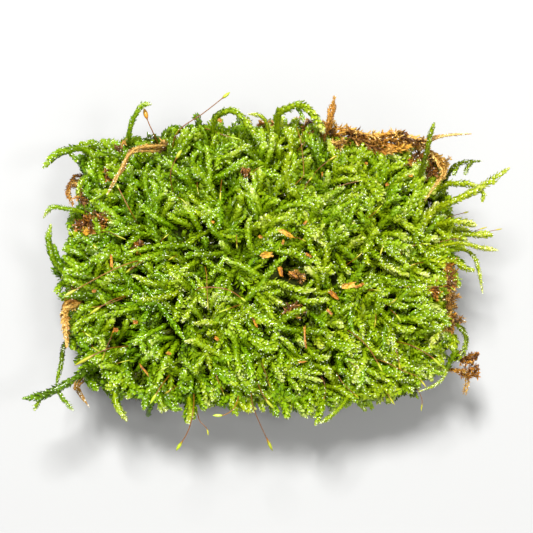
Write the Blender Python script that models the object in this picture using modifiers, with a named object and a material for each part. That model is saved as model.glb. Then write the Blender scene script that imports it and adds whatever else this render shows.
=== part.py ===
"""A clump of feathery moss, cut off flat underneath: a dense cushion of short shoots, with
long free shoots, dead strands, thin fruiting stalks and a few bits of bark around and on it.

Lengths are in millimetres up to the point where a mesh or a curve takes them.
+X is the clump's right, -Y its front and +Z up. The origin is under its middle, on the ground.
"""

import math
import random

import bmesh
import bpy
from mathutils import Matrix, Vector, noise

MM = 0.001
GAP = 0.3  # clearance that each free piece keeps from the cushion
SEED = 11

# The cushion
HALF_LENGTH = 44.0
HALF_WIDTH = 31.2
CENTRE = (-1.9, 2.8)  # the cushion's middle, seen from above
SQUARENESS = 4.2  # exponent of the plan's superellipse
BASE_SHARE = 0.92  # plan size at the ground against the widest level
TOP_SHARE = 0.985
WIDEST_AT = 0.62  # share of the height where the cushion is widest
TOP = 22.5
MOUND = 2.2  # height of the low mounds on the upper surface
MOUND_LENGTH = 12.0
EDGE_DROP = 3.4  # how far the upper surface falls at the rim
SIDE_WAVE = 1.8
CAGE_CUTS = 4

# The short shoots that are fused to the cushion
SHOOT_RADIUS = 1.6
SHOOT_LENGTH = (9.0, 14.0)
RIM_LENGTH = (6.5, 9.5)
TOP_PITCH = (9.2, 7.9)  # spacing along the length and the width
RIM_PITCH = 9.6
SIDE_LEVELS = (5.5, 12.0)
SIDE_PITCH = 17.0
SOURCE = (-48.0, 36.0)  # inside the rim the shoots head away from this place
WANDER = 0.62  # how far a shoot's heading may stray, in radians
CLEAR = 0.7  # free space between a fused shoot and any free piece

# Free shoots: the route of each from inside the cushion to its tip, then its largest radius
FREE_SHOOTS = {
    "back_left_arm": (
        [(-37.3, 26.4, 18), (-42.8, 28.9, 23), (-46.3, 28.2, 25), (-49.3, 27.1, 24.6), (-52, 24.8, 23)],
        1.15,
    ),
    "left_hanging": (
        [(-38.6, 23.2, 17), (-42.4, 22.8, 20.6), (-44, 20.6, 21), (-44.2, 17.2, 20.2)],
        0.9,
    ),
    "left_hook": (
        [(-37.9, 12.8, 17), (-43.2, 14.3, 22), (-46.6, 14.7, 24.2), (-50, 15, 24), (-51.9, 13, 22.4)],
        0.75,
    ),
    "left_upright": (
        [(-42.3, -1.6, 16), (-47.7, 0.4, 21), (-49.8, 3.8, 23.4), (-50.5, 7.4, 24.4), (-50, 10.7, 24.6)],
        0.95,
    ),
    "back_left_spike": (
        [
            (-32.5, 30.7, 17), (-32.4, 32, 24), (-31.6, 34.2, 26),
            (-30.4, 36.3, 27.6), (-28.9, 38, 28.4), (-27.1, 38.3, 28.4),
        ],
        0.85,
    ),
    "back_arch": (
        [
            (-13.1, 30, 17), (-12.8, 34.4, 24), (-11.9, 36.2, 26), (-10.2, 36.6, 27.6),
            (-8.1, 36.8, 28.4), (-6.3, 35.3, 28.4), (-4.5, 33.4, 27.9), (-2.6, 31.1, 26.6),
        ],
        1.0,
    ),
    "back_small_arch": (
        [(0.4, 30, 17), (-0.1, 33.8, 21.4), (-0.7, 35.5, 23.4), (-2.1, 36.7, 24), (-4.5, 37.1, 23.6)],
        0.65,
    ),
    "back_high_arch": (
        [
            (3, 30, 17), (2, 34.5, 23.5), (2.3, 36.7, 26), (4.3, 37.5, 27.4),
            (7.2, 38.1, 28.4), (9.6, 36.4, 28.7), (11.8, 33.4, 28.2), (12.5, 32.2, 27.4),
        ],
        1.25,
    ),
    "back_right_spike": (
        [(34.3, 19, 17), (35.4, 24.1, 24.6), (36.4, 27.9, 27), (37, 30.9, 28.2), (37.9, 33.7, 28.6)],
        0.8,
    ),
    "right_dark_arm": (
        [(38.6, 16.7, 16), (41.3, 22.1, 19.4), (42.7, 24.5, 22), (44.8, 25.6, 23.4), (49.2, 25.9, 24.2)],
        0.7,
    ),
    "right_long_arm": (
        [(35.8, 13.9, 20), (40.4, 15.5, 24.6), (45.2, 17.5, 25.6), (50.1, 20.2, 26), (55, 23.6, 26.6)],
        1.15,
    ),
    "right_upper_arm": ([(36.6, 18.7, 18.6), (41.3, 20, 22.8), (44.9, 20.6, 24), (48.1, 21, 24.4)], 1.0),
    "right_arm_one": (
        [(36.5, 10.9, 19.6), (41.6, 11.9, 23.6), (44.7, 11.9, 24.2), (47.5, 11.6, 24.2)],
        1.25,
    ),
    "right_arm_two": ([(37.8, 7.8, 16.6), (43.8, 9.2, 20.6), (48.5, 9.1, 21.6), (51.6, 9, 21.6)], 1.1),
    "right_arm_three": ([(36.9, 5.9, 18.8), (43.6, 6.7, 23), (48.8, 6.2, 23.6), (52.5, 5.2, 23.6)], 1.1),
    "right_drooping": (
        [(38.5, 4.6, 14), (44.7, 6.7, 18.6), (47.8, 5.2, 20.4), (48.7, 1.4, 20.4), (49.7, -3.8, 19.4)],
        0.9,
    ),
    "right_short": ([(37.4, 1.7, 18.6), (42.3, 3.2, 22.2), (44.7, 2.5, 23), (46.5, 1, 22.6)], 0.9),
    "right_front_bow": (
        [(37.7, -19, 17), (40.5, -22, 21), (39.8, -24.1, 22), (38, -25.7, 22), (34.3, -27.2, 21.6)],
        0.55,
    ),
    "right_front_loop": (
        [(38, -8.6, 15), (43, -11.4, 19.8), (45.2, -14.2, 21.2), (45, -17.4, 20.8), (43.6, -20, 19.4)],
        0.8,
    ),
    "front_tuft": ([(12.6, -25.4, 17), (12.2, -30.2, 22), (10.8, -34.4, 22)], 1.15),
    "front_tuft_arm": (
        [(20.7, -24.3, 17), (17.1, -29.8, 23.4), (14.1, -32.8, 24.8), (11.9, -34.3, 24.8)],
        0.7,
    ),
    "front_left_tip": (
        [(-34.9, -22.4, 16), (-35.1, -28.2, 22), (-34.1, -31, 22.4), (-32.5, -33.6, 21)],
        1.0,
    ),
    "front_tip": ([(-18.2, -25.4, 17), (-18, -30, 22), (-17.7, -31.8, 22), (-18.2, -34, 21.6)], 1.05),
    "front_left_long": (
        [
            (-35.6, -18.4, 16), (-40.2, -21.4, 22.6), (-44, -24.4, 24.2),
            (-48, -26.8, 25.2), (-51.4, -28.4, 25.6), (-55, -28.9, 26),
        ],
        1.2,
    ),
    "front_left_thin": (
        [(-41.7, -11.5, 14), (-46.8, -15.6, 18.6), (-47.5, -20.4, 20.6), (-48.4, -25.7, 21.6)],
        0.75,
    ),
}
# Side branches, each fused to the shoot that it leaves
BRANCHES = {
    "back_left_arm": [[(-46.3, 28.2, 25), (-45.3, 27, 24.4), (-44.3, 25.9, 24)]],
    "right_long_arm": [[(48.2, 19.1, 25.9), (49.4, 17.9, 25.2), (49.2, 16.4, 24.6)]],
    "front_left_long": [
        [(-51.2, -28.3, 25.6), (-52, -29.8, 25), (-52.8, -31.4, 24.6)],
        [(-47.8, -26.7, 25.2), (-46.6, -28.8, 24), (-44.4, -31.4, 23)],
    ],
}
BRANCH_RADIUS = 0.6

# Dead strands, orange and tan: route and largest radius
DEAD_STRANDS = {
    "dead_shoot_back_left": (
        [
            (-24.6, 29.2, 23.4), (-28.4, 28.4, 26.6), (-31.4, 27.2, 28.2),
            (-33, 24, 28.4), (-35, 20.6, 28), (-37, 17.2, 27.2),
        ],
        1.0,
    ),
    "dead_spike_back": (
        [
            (13.5, 30.3, 19), (13.6, 33.1, 23.6), (14.1, 35.4, 26),
            (14.6, 38.2, 27), (15.2, 39.6, 27.4), (15.6, 40.8, 27.4),
        ],
        1.4,
    ),
    "dead_strand_right": (
        [(35.1, 30.4, 23.6), (37.8, 31, 24.4), (41.3, 31.7, 24.6), (46.9, 32.3, 24.2)],
        0.75,
    ),
    "dead_curl_right": (
        [
            (37.4, 29, 19.6), (39.1, 27.6, 22), (40.4, 25.2, 23.4),
            (40.5, 22.9, 24.4), (38.9, 20.7, 25.6), (35.7, 16.4, 27),
        ],
        1.3,
    ),
    "dead_edge_right": (
        [(38.6, 1.4, 13), (41.2, 0.9, 16.6), (41.8, -3, 17.6), (42, -7.6, 17.4), (42.3, -12.2, 17)],
        1.15,
    ),
    "dead_clump_left": (
        [
            (-41.5, -5.8, 18), (-45.1, -6.6, 22.5), (-46.5, -8.9, 24),
            (-46.4, -12.2, 24), (-46, -16.9, 23.4),
        ],
        1.5,
    ),
    "dead_sprig_front_left": (
        [
            (-40.5, -20.8, 13), (-44.4, -25.1, 17.6), (-43.7, -26.8, 18.6),
            (-42.7, -28.5, 18.6), (-41.2, -30.6, 18.4),
        ],
        0.75,
    ),
    "dead_tuft_left": (
        [
            (-41.4, 23.2, 14), (-45.2, 23.2, 15.4), (-46.8, 22, 16.6),
            (-47, 19.6, 17), (-46, 16.8, 16.8),
        ],
        0.85,
    ),
}
# The dead band along the back right edge, and the tuft at the front right corner
BAND = [
    (15.2, 34, 20.8), (18.6, 32.7, 22), (21.8, 31.2, 22.4),
    (26.9, 30.6, 22.6), (30.6, 30.7, 22.8), (33.8, 30.3, 22.8),
]
BAND_RADIUS = 1.9
BAND_SHREDS = 7
TUFT = [(38.4, -21, 12), (43, -21.8, 15.6), (45.4, -22.2, 16.6)]
TUFT_TIPS = [(48.2, -20.3, 17.4), (48.4, -23.3, 17), (45.2, -27.3, 16.6), (46.1, -18.5, 18.2)]

# Fruiting stalks: route from the foot to the tip, then the length and radius of the pale tip
STALKS = {
    "stalk_back": (
        [(-23, 27.9, 21), (-20.7, 32.3, 27), (-14.8, 36.1, 29), (-8.8, 40.8, 29.6)],
        2.4, 0.42,
    ),
    "stalk_back_left": (
        [(-25.4, 29.8, 20), (-26.6, 32.2, 25), (-27.8, 34.8, 26.4), (-28.7, 37.7, 26.6)],
        2.6, 0.55,
    ),
    "stalk_front_left": (
        [(-17.2, -26.6, 22), (-16.9, -31, 25.6), (-18, -36, 25.6), (-20.8, -40.6, 24.2)],
        2.6, 0.42,
    ),
    "stalk_front": (
        [(-4.2, -24.5, 21), (-3.7, -29.7, 25.4), (-2.4, -33.5, 25.6), (0.9, -40.6, 24.2)],
        3.0, 0.42,
    ),
    "stalk_front_loop": (
        [(-6.5, -26.3, 21), (-7.5, -30.6, 24.6), (-9.8, -32.5, 25), (-12.6, -32.7, 24.8)],
        2.4, 0.35,
    ),
    "stalk_left_long": (
        [(-27.6, 3.4, 23), (-31.6, 1.6, 27.4), (-36.8, -0.8, 28), (-46.4, -6, 27.2)],
        3.4, 0.36,
    ),
    "stalk_left_low": (
        [(-31.4, -16.6, 23), (-35.3, -17.6, 27), (-38.5, -18.9, 27.8), (-43.6, -21.6, 27.6)],
        5.2, 0.4,
    ),
    "stalk_left_middle": (
        [(-31.3, -4.7, 23), (-34.7, -6.5, 27), (-37.6, -8.2, 27.8), (-40.4, -10.1, 27.8)],
        3.2, 0.36,
    ),
    "stalk_front_slanting": (
        [(-22.3, -22.7, 22), (-24.1, -26.1, 26.4), (-25.3, -28.1, 27), (-26.6, -30.2, 26.6)],
        3.0, 0.36,
    ),
    "stalk_front_short": (
        [(-2.9, -24.1, 22), (-1.8, -27, 26.4), (-0.5, -29.3, 26.5), (1.2, -31.2, 26.2)],
        3.0, 0.36,
    ),
    "stalk_right_front": (
        [(29, -15.6, 22), (32, -17, 27), (36, -19.2, 27.4), (39, -21.8, 26.8)],
        3.2, 0.34,
    ),
    "stalk_middle_right": (
        [(17.6, -12.6, 22), (19.8, -15, 27.2), (22.6, -17.8, 27.8), (25.6, -23, 27.6)],
        2.4, 0.3,
    ),
    "stalk_upper_left": (
        [(-22, 18, 22), (-22.4, 21.4, 27.2), (-21.8, 24.2, 28.2), (-19.8, 27.6, 28.6)],
        2.6, 0.45,
    ),
    "stalk_left_fine": (
        [(-30.2, 11.4, 22), (-31.3, 13.3, 27), (-33, 16.5, 27.4), (-34.9, 20.2, 26.6)],
        1.6, 0.28,
    ),
    "stalk_arc": (
        [(-16.8, -4.6, 22), (-15.8, -4.2, 27.6), (-12.6, -4, 28.3), (-8.6, -4.8, 28.3), (-5, -7.2, 27.1)],
        1.8, 0.3,
    ),
}
STALK_RADIUS = 0.2
FOOT_RISE = 1.3  # a stalk starts this far above the cushion's upper surface

# Bits of bark lying on the moss: middle, length, width and heading in degrees
BARK = {
    "bark_tan": ((-0.3, 3.4, 28.2), 2.6, 1.3, 5),
    "bark_splinter": ((4, 8.2, 28.4), 3.4, 0.9, -35),
    "bark_orange": ((18.2, -3.6, 28.2), 3.0, 1.2, 12),
}
BARK_THICKNESS = 0.5

# Colours, linear
LEAF_GREEN = (0.19, 0.36, 0.012, 1)
DARK_GREEN = (0.07, 0.15, 0.012, 1)
DEAD_ORANGE = (0.42, 0.16, 0.028, 1)
DEAD_TAN = (0.42, 0.24, 0.08, 1)
STALK_BROWN = (0.26, 0.085, 0.02, 1)


def clear_scene():
    for thing in list(bpy.data.objects):
        bpy.data.objects.remove(thing, do_unlink=True)


def new_collection(name, hidden=False):
    collection = bpy.data.collections.new(name)
    bpy.context.scene.collection.children.link(collection)
    collection.hide_render = hidden
    return collection


def new_material(name, colour, roughness):
    material = bpy.data.materials.new(name)
    material.use_nodes = True
    shader = material.node_tree.nodes["Principled BSDF"]
    shader.inputs["Base Color"].default_value = colour
    shader.inputs["Roughness"].default_value = roughness
    shader.inputs["Metallic"].default_value = 0.0
    material.diffuse_color = colour
    return material


def hide(thing):
    thing.hide_render = True
    thing.display_type = "WIRE"


# Routes

def smooth_route(points, count):
    """Points at even steps of length along a smooth curve through the given points."""
    points = [Vector(p) for p in points]
    ends = [2 * points[0] - points[1], *points, 2 * points[-1] - points[-2]]
    fine = []
    for a, b, c, d in zip(ends, ends[1:], ends[2:], ends[3:]):
        for step in range(12):
            t = step / 12
            fine.append(
                0.5 * (2 * b + (c - a) * t + (2 * a - 5 * b + 4 * c - d) * t**2
                       + (3 * b - a - 3 * c + d) * t**3)
            )
    fine.append(points[-1])
    lengths = [0.0]
    for a, b in zip(fine, fine[1:]):
        lengths.append(lengths[-1] + (b - a).length)
    route, at = [], 0
    for step in range(count):
        want = lengths[-1] * step / (count - 1)
        while at < len(fine) - 2 and lengths[at + 1] < want:
            at += 1
        share = (want - lengths[at]) / max(lengths[at + 1] - lengths[at], 1e-9)
        route.append(fine[at].lerp(fine[at + 1], share))
    return route


def route_length(points):
    return sum((Vector(b) - Vector(a)).length for a, b in zip(points, points[1:]))


def leafy_radii(count, radius, ruffle=0.16):
    """Full along most of the shoot, narrowing to the tip, with a ruffle for the whorls of leaves."""
    radii = []
    for step in range(count):
        along = step / (count - 1)
        body = 0.8 + 0.2 * min(along / 0.25, 1) - 0.62 * max(along - 0.55, 0) / 0.45
        wave = 1 + ruffle * (1 if step % 2 else -1) * (1 - along)
        radii.append(radius * body * wave)
    return radii


def tapered_radii(count, radius, tip=0.2):
    return [radius * (1 - (1 - tip) * (step / (count - 1)) ** 1.3) for step in range(count)]


# Tubes

def tube_curve(name, route, radii, sides):
    curve = bpy.data.curves.new(name, "CURVE")
    curve.dimensions = "3D"
    curve.bevel_depth = MM
    curve.bevel_resolution = (sides - 4) // 2
    curve.use_fill_caps = True
    spline = curve.splines.new("POLY")
    spline.points.add(len(route) - 1)
    for point, place, radius in zip(spline.points, route, radii):
        point.co = (*(place * MM), 1)
        point.radius = radius
    return bpy.data.objects.new(name, curve)


def tube(collection, name, route, radii, material, sides=6):
    """A round piece along a route, as a curve with a bevel and closed ends."""
    thing = tube_curve(name, route, radii, sides)
    thing.data.materials.append(material)
    collection.objects.link(thing)
    return thing


def made_mesh(thing):
    """The same piece as a mesh, with its end caps welded on, in place of the curve."""
    depsgraph = bpy.context.evaluated_depsgraph_get()
    mesh = bpy.data.meshes.new_from_object(thing.evaluated_get(depsgraph))
    sheet = bmesh.new()
    sheet.from_mesh(mesh)
    bmesh.ops.remove_doubles(sheet, verts=sheet.verts, dist=0.00001)
    sheet.to_mesh(mesh)
    sheet.free()
    name = thing.name
    solid = bpy.data.objects.new(name + "_solid", mesh)
    solid.matrix_world = thing.matrix_world
    for collection in list(thing.users_collection):
        collection.objects.link(solid)
    bpy.data.objects.remove(thing, do_unlink=True)
    solid.name = name
    return solid


def grown_cutter(cutters, name, route, radii, sides=6):
    """The room that a free piece takes out of the cushion: its own form and the clearance."""
    back = (route[0] - route[1]).normalized() * GAP
    grown_route = [route[0] + back, *route[1:]]
    grown_radii = [radius + GAP * 1.18 for radius in radii]
    cutter = tube(cutters, name + "_room", grown_route, grown_radii, None, sides)
    cutter.data.materials.clear()
    cutter = made_mesh(cutter)
    hide(cutter)
    return cutter


def fuse(thing, branches):
    """Joins the branches to the piece that they leave."""
    for branch in branches:
        hide(branch)
        joint = thing.modifiers.new("join_" + branch.name, "BOOLEAN")
        joint.operation = "UNION"
        joint.solver = "EXACT"
        joint.object = branch


# The cushion

def rim_share(x, y):
    """0 in the cushion's middle and 1 on its rim."""
    across = abs((x - CENTRE[0]) / HALF_LENGTH) ** SQUARENESS
    along = abs((y - CENTRE[1]) / HALF_WIDTH) ** SQUARENESS
    return (across + along) ** (1 / SQUARENESS)


def top_height(x, y):
    mounds = MOUND * noise.noise(Vector((x, y, 3.0)) / MOUND_LENGTH)
    return TOP + mounds - EDGE_DROP * min(rim_share(x, y), 1.1) ** 7


def flare(level):
    """Plan size at a share of the height: narrow at the ground and widest below the rim."""
    if level < WIDEST_AT:
        return BASE_SHARE + (1 - BASE_SHARE) * math.sin(0.5 * math.pi * level / WIDEST_AT)
    return 1 - (1 - TOP_SHARE) * (level - WIDEST_AT) / (1 - WIDEST_AT)


def cushion_body(collection, material):
    """A lumpy pad from a coarse cage, with a smooth skin and a flat cut underneath."""
    bpy.ops.mesh.primitive_cube_add(size=2)
    body = bpy.context.object
    for owner in list(body.users_collection):
        owner.objects.unlink(body)
    collection.objects.link(body)
    body.name = "moss_cushion"
    body.data.materials.append(material)
    cage = bmesh.new()
    cage.from_mesh(body.data)
    bmesh.ops.subdivide_edges(cage, edges=cage.edges, cuts=CAGE_CUTS, use_grid_fill=True)
    for corner in cage.verts:
        u, v, w = corner.co
        ring = max(abs(u), abs(v))
        squeeze = ring / max((abs(u) ** SQUARENESS + abs(v) ** SQUARENESS) ** (1 / SQUARENESS), 1e-9)
        level = (w + 1) / 2
        size = squeeze * flare(level)
        if ring > 0.99:
            size *= 1 + SIDE_WAVE / HALF_WIDTH * noise.noise(Vector((3 * u, 3 * v, 2 * w)))
        x = u * size * HALF_LENGTH + CENTRE[0]
        y = v * size * HALF_WIDTH + CENTRE[1]
        corner.co = Vector((x, y, level * top_height(x, y))) * MM
    crease = cage.edges.layers.float.new("crease_edge")
    for edge in cage.edges:
        on_ground = all(end.co.z < 0.1 * MM for end in edge.verts)
        if on_ground and any(face.normal.z > -0.7 for face in edge.link_faces):
            edge[crease] = 0.9
    cage.to_mesh(body.data)
    cage.free()
    skin = body.modifiers.new("skin", "SUBSURF")
    skin.levels = 1
    skin.render_levels = 1
    return body


def outwards(x, y):
    """The level direction straight out of the rim, seen from a place inside it."""
    u, v = (x - CENTRE[0]) / HALF_LENGTH, (y - CENTRE[1]) / HALF_WIDTH
    power = SQUARENESS - 1
    across = math.copysign(abs(u) ** power, u) / HALF_LENGTH
    along = math.copysign(abs(v) ** power, v) / HALF_WIDTH
    return Vector((across, along, 0)).normalized()


def on_rim(turn, share):
    """The place at this share of the way from the middle to the rim, and at this turn round it."""
    c, s = math.cos(turn), math.sin(turn)
    reach = share / (abs(c) ** SQUARENESS + abs(s) ** SQUARENESS) ** (1 / SQUARENESS)
    return CENTRE[0] + c * reach * HALF_LENGTH, CENTRE[1] + s * reach * HALF_WIDTH


def clear_of(route, radii, taken):
    """True if the whole route keeps clear of every free piece."""
    for place, radius in zip(route, radii):
        for other, other_radius in taken:
            if (place - other).length < radius + other_radius + CLEAR:
                return False
    return True


def top_shoot(x, y, way, lengths, rng):
    """A short shoot that rises out of the cushion, arches over and runs along its surface."""
    bend = rng.uniform(-0.5, 0.5)
    length = rng.uniform(*lengths)
    lift = rng.uniform(0.0, 1.4)
    points = []
    for share, rise in ((0, -2.6), (0.3, 0.4), (0.62, 1.3), (1, 0.8)):
        turned = Vector((way.x, way.y, 0))
        turned.rotate(Matrix.Rotation(bend * share, 3, "Z"))
        px, py = x + turned.x * length * share, y + turned.y * length * share
        points.append(Vector((px, py, top_height(px, py) + rise + lift * min(share * 2, 1))))
    return points


def side_shoot(turn, level, rng):
    """A short shoot on the side, leaning out and then up along the wall."""
    x, y = on_rim(turn, flare(level / TOP))
    out = outwards(x, y)
    along = Vector((-out.y, out.x, 0)) * rng.choice((-1, 1))
    start = Vector((x, y, level)) - out * 2.4
    length = rng.uniform(7.0, 10.0)
    up = rng.uniform(0.1, 0.7)
    points = [start]
    for share, leave in ((0.35, 2.6), (0.7, 3.4), (1, 2.9)):
        step = along * length * share + Vector((0, 0, length * share * up))
        points.append(start + out * leave + step)
    return points


def short_shoot_routes(rng):
    """Where the short shoots run: over the top, round the rim and on the sides."""
    rows = int(2 * HALF_WIDTH / TOP_PITCH[1])
    columns = int(2 * HALF_LENGTH / TOP_PITCH[0])
    for row in range(rows):
        for column in range(columns):
            x = (column + 0.5 + 0.5 * (row % 2 - 0.5)) * TOP_PITCH[0] - HALF_LENGTH
            y = (row + 0.5) * TOP_PITCH[1] - HALF_WIDTH
            x += CENTRE[0] + rng.uniform(-1.8, 1.8)
            y += CENTRE[1] + rng.uniform(-1.8, 1.8)
            if rim_share(x, y) < 0.8:
                way = Vector((x - SOURCE[0], y - SOURCE[1], 0)).normalized()
                way.rotate(Matrix.Rotation(rng.uniform(-WANDER, WANDER), 3, "Z"))
                yield top_shoot(x, y, way, SHOOT_LENGTH, rng)
    around = 2 * math.pi * math.sqrt((HALF_LENGTH**2 + HALF_WIDTH**2) / 2)
    count = round(around / RIM_PITCH)
    for step in range(count):
        turn = 2 * math.pi * (step + rng.uniform(-0.3, 0.3)) / count
        x, y = on_rim(turn, 0.82)
        way = outwards(x, y)
        way.rotate(Matrix.Rotation(rng.uniform(-0.5, 0.5), 3, "Z"))
        yield top_shoot(x, y, way, RIM_LENGTH, rng)
    count = round(around / SIDE_PITCH)
    for level in SIDE_LEVELS:
        for step in range(count):
            turn = 2 * math.pi * (step + rng.uniform(-0.3, 0.3)) / count
            yield side_shoot(turn, level + rng.uniform(-1.2, 1.2), rng)


def short_shoots(collection, taken):
    """The cushion's short shoots, each of which keeps clear of the free pieces and the ground."""
    rng = random.Random(SEED)
    made = []
    for points in short_shoot_routes(rng):
        route = smooth_route(points, 4)
        radii = leafy_radii(4, SHOOT_RADIUS * rng.uniform(0.85, 1.15), 0.05)
        lowest = min(place.z - radius for place, radius in zip(route, radii))
        if lowest > 1.0 and clear_of(route[1:], radii[1:], taken):
            made.append(tube(collection, "short_shoot", route, radii, None, 4))
    for thing in made:
        thing.data.materials.clear()
        hide(made_mesh(thing))


# Free pieces

def thing_count(points, pitch, least=5):
    return max(least, round(route_length(points) / pitch) + 1)


def free_shoots(parts, branches, cutters, taken, materials):
    for name, (points, radius) in FREE_SHOOTS.items():
        count = thing_count(points, 2.8)
        route = smooth_route(points, count)
        radii = leafy_radii(count, radius)
        colour = materials["dark"] if "dark" in name or "thin" in name else materials["leaf"]
        shoot = tube(parts, "shoot_" + name, route, radii, colour)
        if name in BRANCHES:
            shoot = made_mesh(shoot)
            twigs = []
            for number, twig in enumerate(BRANCHES[name]):
                twig_route = smooth_route(twig, 4)
                twig_radii = tapered_radii(4, BRANCH_RADIUS, 0.5)
                twigs.append(made_mesh(
                    tube(branches, f"{name}_{number}", twig_route, twig_radii, colour)
                ))
                taken.extend(zip(twig_route, twig_radii))
            fuse(shoot, twigs)
        grown_cutter(cutters, name, route, radii)
        taken.extend(zip(route, radii))


def dead_strands(parts, cutters, taken, materials):
    for name, (points, radius) in DEAD_STRANDS.items():
        count = thing_count(points, 3.0)
        route = smooth_route(points, count)
        radii = tapered_radii(count, radius, 0.35)
        tube(parts, name, route, radii, materials["tan" if "left" in name else "orange"])
        grown_cutter(cutters, name, route, radii)
        taken.extend(zip(route, radii))


def dead_band(parts, branches, cutters, taken, material):
    """A matted band of dead shoots, with shreds that lie along it."""
    rng = random.Random(SEED + 1)
    count = thing_count(BAND, 2.4)
    route = smooth_route(BAND, count)
    radii = [BAND_RADIUS * rng.uniform(0.8, 1.1) for _ in route]
    radii[0] *= 0.5
    radii[-1] *= 0.5
    band = made_mesh(tube(parts, "dead_band_back_right", route, radii, material))
    shreds = []
    for number in range(BAND_SHREDS):
        at = route[1 + number * (count - 3) // BAND_SHREDS]
        side = rng.choice((-1, 1))
        lean = Vector((rng.uniform(2.2, 3.6), side * rng.uniform(1.2, 2.4), rng.uniform(0.2, 1.8)))
        shred = [at, at + lean * 0.55, at + lean]
        shred_route = smooth_route(shred, 3)
        shred_radii = [0.8, 0.6, 0.2]
        shreds.append(made_mesh(
            tube(branches, f"shred_{number}", shred_route, shred_radii, material, 4)
        ))
        grown_cutter(cutters, f"shred_{number}", shred_route, shred_radii, 4)
        taken.extend(zip(shred_route, shred_radii))
    fuse(band, shreds)
    grown_cutter(cutters, "band", route, radii)
    taken.extend(zip(route, radii))


def dead_tuft(parts, branches, cutters, taken, material):
    """A dead tuft on a short stem, with its shoots spread like fingers."""
    route = smooth_route(TUFT, 5)
    radii = [0.7, 0.9, 1.2, 1.4, 1.0]
    tuft = made_mesh(tube(parts, "dead_tuft_front_right", route, radii, material))
    fingers = []
    for number, tip in enumerate(TUFT_TIPS):
        finger = smooth_route([route[3], (route[4] + Vector(tip)) / 2, Vector(tip)], 4)
        finger_radii = [0.7, 0.8, 0.65, 0.25]
        fingers.append(made_mesh(
            tube(branches, f"finger_{number}", finger, finger_radii, material, 4)
        ))
        taken.extend(zip(finger, finger_radii))
    fuse(tuft, fingers)
    grown_cutter(cutters, "tuft", route, radii)
    taken.extend(zip(route, radii))


def fruiting_stalks(parts, taken, material):
    """Thin stalks, each with a slender pale tip that is a little thicker."""
    for name, (points, tip_length, tip_radius) in STALKS.items():
        foot_x, foot_y, _ = points[0]
        points = [(foot_x, foot_y, top_height(foot_x, foot_y) + FOOT_RISE), *points[1:]]
        length = route_length(points)
        count = thing_count(points, 3.0, 6)
        route = smooth_route(points, count)
        radii = []
        for step in range(count):
            left = length * (1 - step / (count - 1))
            inside = max(0.0, 1 - left / tip_length)
            swell = math.sin(math.pi * min(inside * 0.85 + 0.12, 1)) if inside else 0
            radii.append(max(STALK_RADIUS, tip_radius * swell))
        radii[-1] = 0.12
        tube(parts, name, route, radii, material, 4)
        taken.extend(zip(route, radii))


def bark_bits(parts, material):
    """Thin slips of bark, a little bent and narrower at one end."""
    for name, (middle, length, width, degrees) in BARK.items():
        bpy.ops.mesh.primitive_cube_add(size=1)
        slip = bpy.context.object
        for owner in list(slip.users_collection):
            owner.objects.unlink(slip)
        parts.objects.link(slip)
        slip.name = name
        slip.data.materials.append(material)
        for corner in slip.data.vertices:
            x, y, z = corner.co
            narrow = 1 if x < 0 else 0.55
            corner.co = Vector((x * length, y * width * narrow, z * BARK_THICKNESS)) * MM
        slip.location = Vector(middle) * MM
        slip.rotation_euler = (0.1, -0.12, math.radians(degrees))


def main():
    clear_scene()
    parts = new_collection("moss_clump")
    cutters = new_collection("rooms", hidden=True)
    short = new_collection("short_shoots", hidden=True)
    branches = new_collection("branches", hidden=True)
    materials = {
        "leaf": new_material("living_moss", LEAF_GREEN, 0.55),
        "dark": new_material("dark_moss", DARK_GREEN, 0.6),
        "orange": new_material("dead_moss_orange", DEAD_ORANGE, 0.7),
        "tan": new_material("dead_moss_tan", DEAD_TAN, 0.7),
        "stalk": new_material("fruiting_stalk", STALK_BROWN, 0.45),
    }
    taken = []
    free_shoots(parts, branches, cutters, taken, materials)
    dead_strands(parts, cutters, taken, materials)
    dead_band(parts, branches, cutters, taken, materials["orange"])
    dead_tuft(parts, branches, cutters, taken, materials["orange"])
    fruiting_stalks(parts, taken, materials["stalk"])
    bark_bits(parts, materials["tan"])
    body = cushion_body(parts, materials["leaf"])
    short_shoots(short, taken)
    for operation, operand in (("UNION", short), ("DIFFERENCE", cutters)):
        joint = body.modifiers.new(operation.lower(), "BOOLEAN")
        joint.operation = operation
        joint.solver = "EXACT"
        joint.operand_type = "COLLECTION"
        joint.collection = operand


main()
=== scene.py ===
"""The look of a clump of feathery moss, cut off flat underneath.

Lengths are in millimetres up to the point where a mesh takes them.
+X is the clump's right, -Y its front and +Z up. The origin is under its middle, on the ground.
Ages run from 0, old and dark, to 1, young and pale, and they also carry painted light: the lower layers and
the left side get lower ages, partly as older growth and partly as painted shade, and the top of each leaf
palette, past every leaf, is the near-white painted highlight of the beads of damp. Tones run between a
material's two palettes.
"""

import math

import bmesh
import bpy
import numpy as np
from mathutils import Matrix, Vector, noise


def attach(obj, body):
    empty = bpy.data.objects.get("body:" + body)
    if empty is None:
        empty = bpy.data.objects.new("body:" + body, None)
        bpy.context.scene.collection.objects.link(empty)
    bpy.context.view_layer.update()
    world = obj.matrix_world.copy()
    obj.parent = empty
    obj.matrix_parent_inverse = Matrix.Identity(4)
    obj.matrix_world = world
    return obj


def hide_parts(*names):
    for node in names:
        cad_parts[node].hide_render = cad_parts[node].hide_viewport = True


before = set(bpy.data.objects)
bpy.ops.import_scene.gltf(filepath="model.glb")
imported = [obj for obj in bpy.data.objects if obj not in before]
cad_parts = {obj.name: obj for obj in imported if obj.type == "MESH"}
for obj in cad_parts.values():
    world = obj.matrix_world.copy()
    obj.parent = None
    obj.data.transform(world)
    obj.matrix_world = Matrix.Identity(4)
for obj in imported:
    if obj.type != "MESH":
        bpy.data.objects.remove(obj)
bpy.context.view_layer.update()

MM = 0.001
SEED = 23
GOLDEN = math.radians(137.5)
UPWARDS = (0, 0, 1)
GROUND_GAP = 0.05  # every leaf stays this far above the ground

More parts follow.
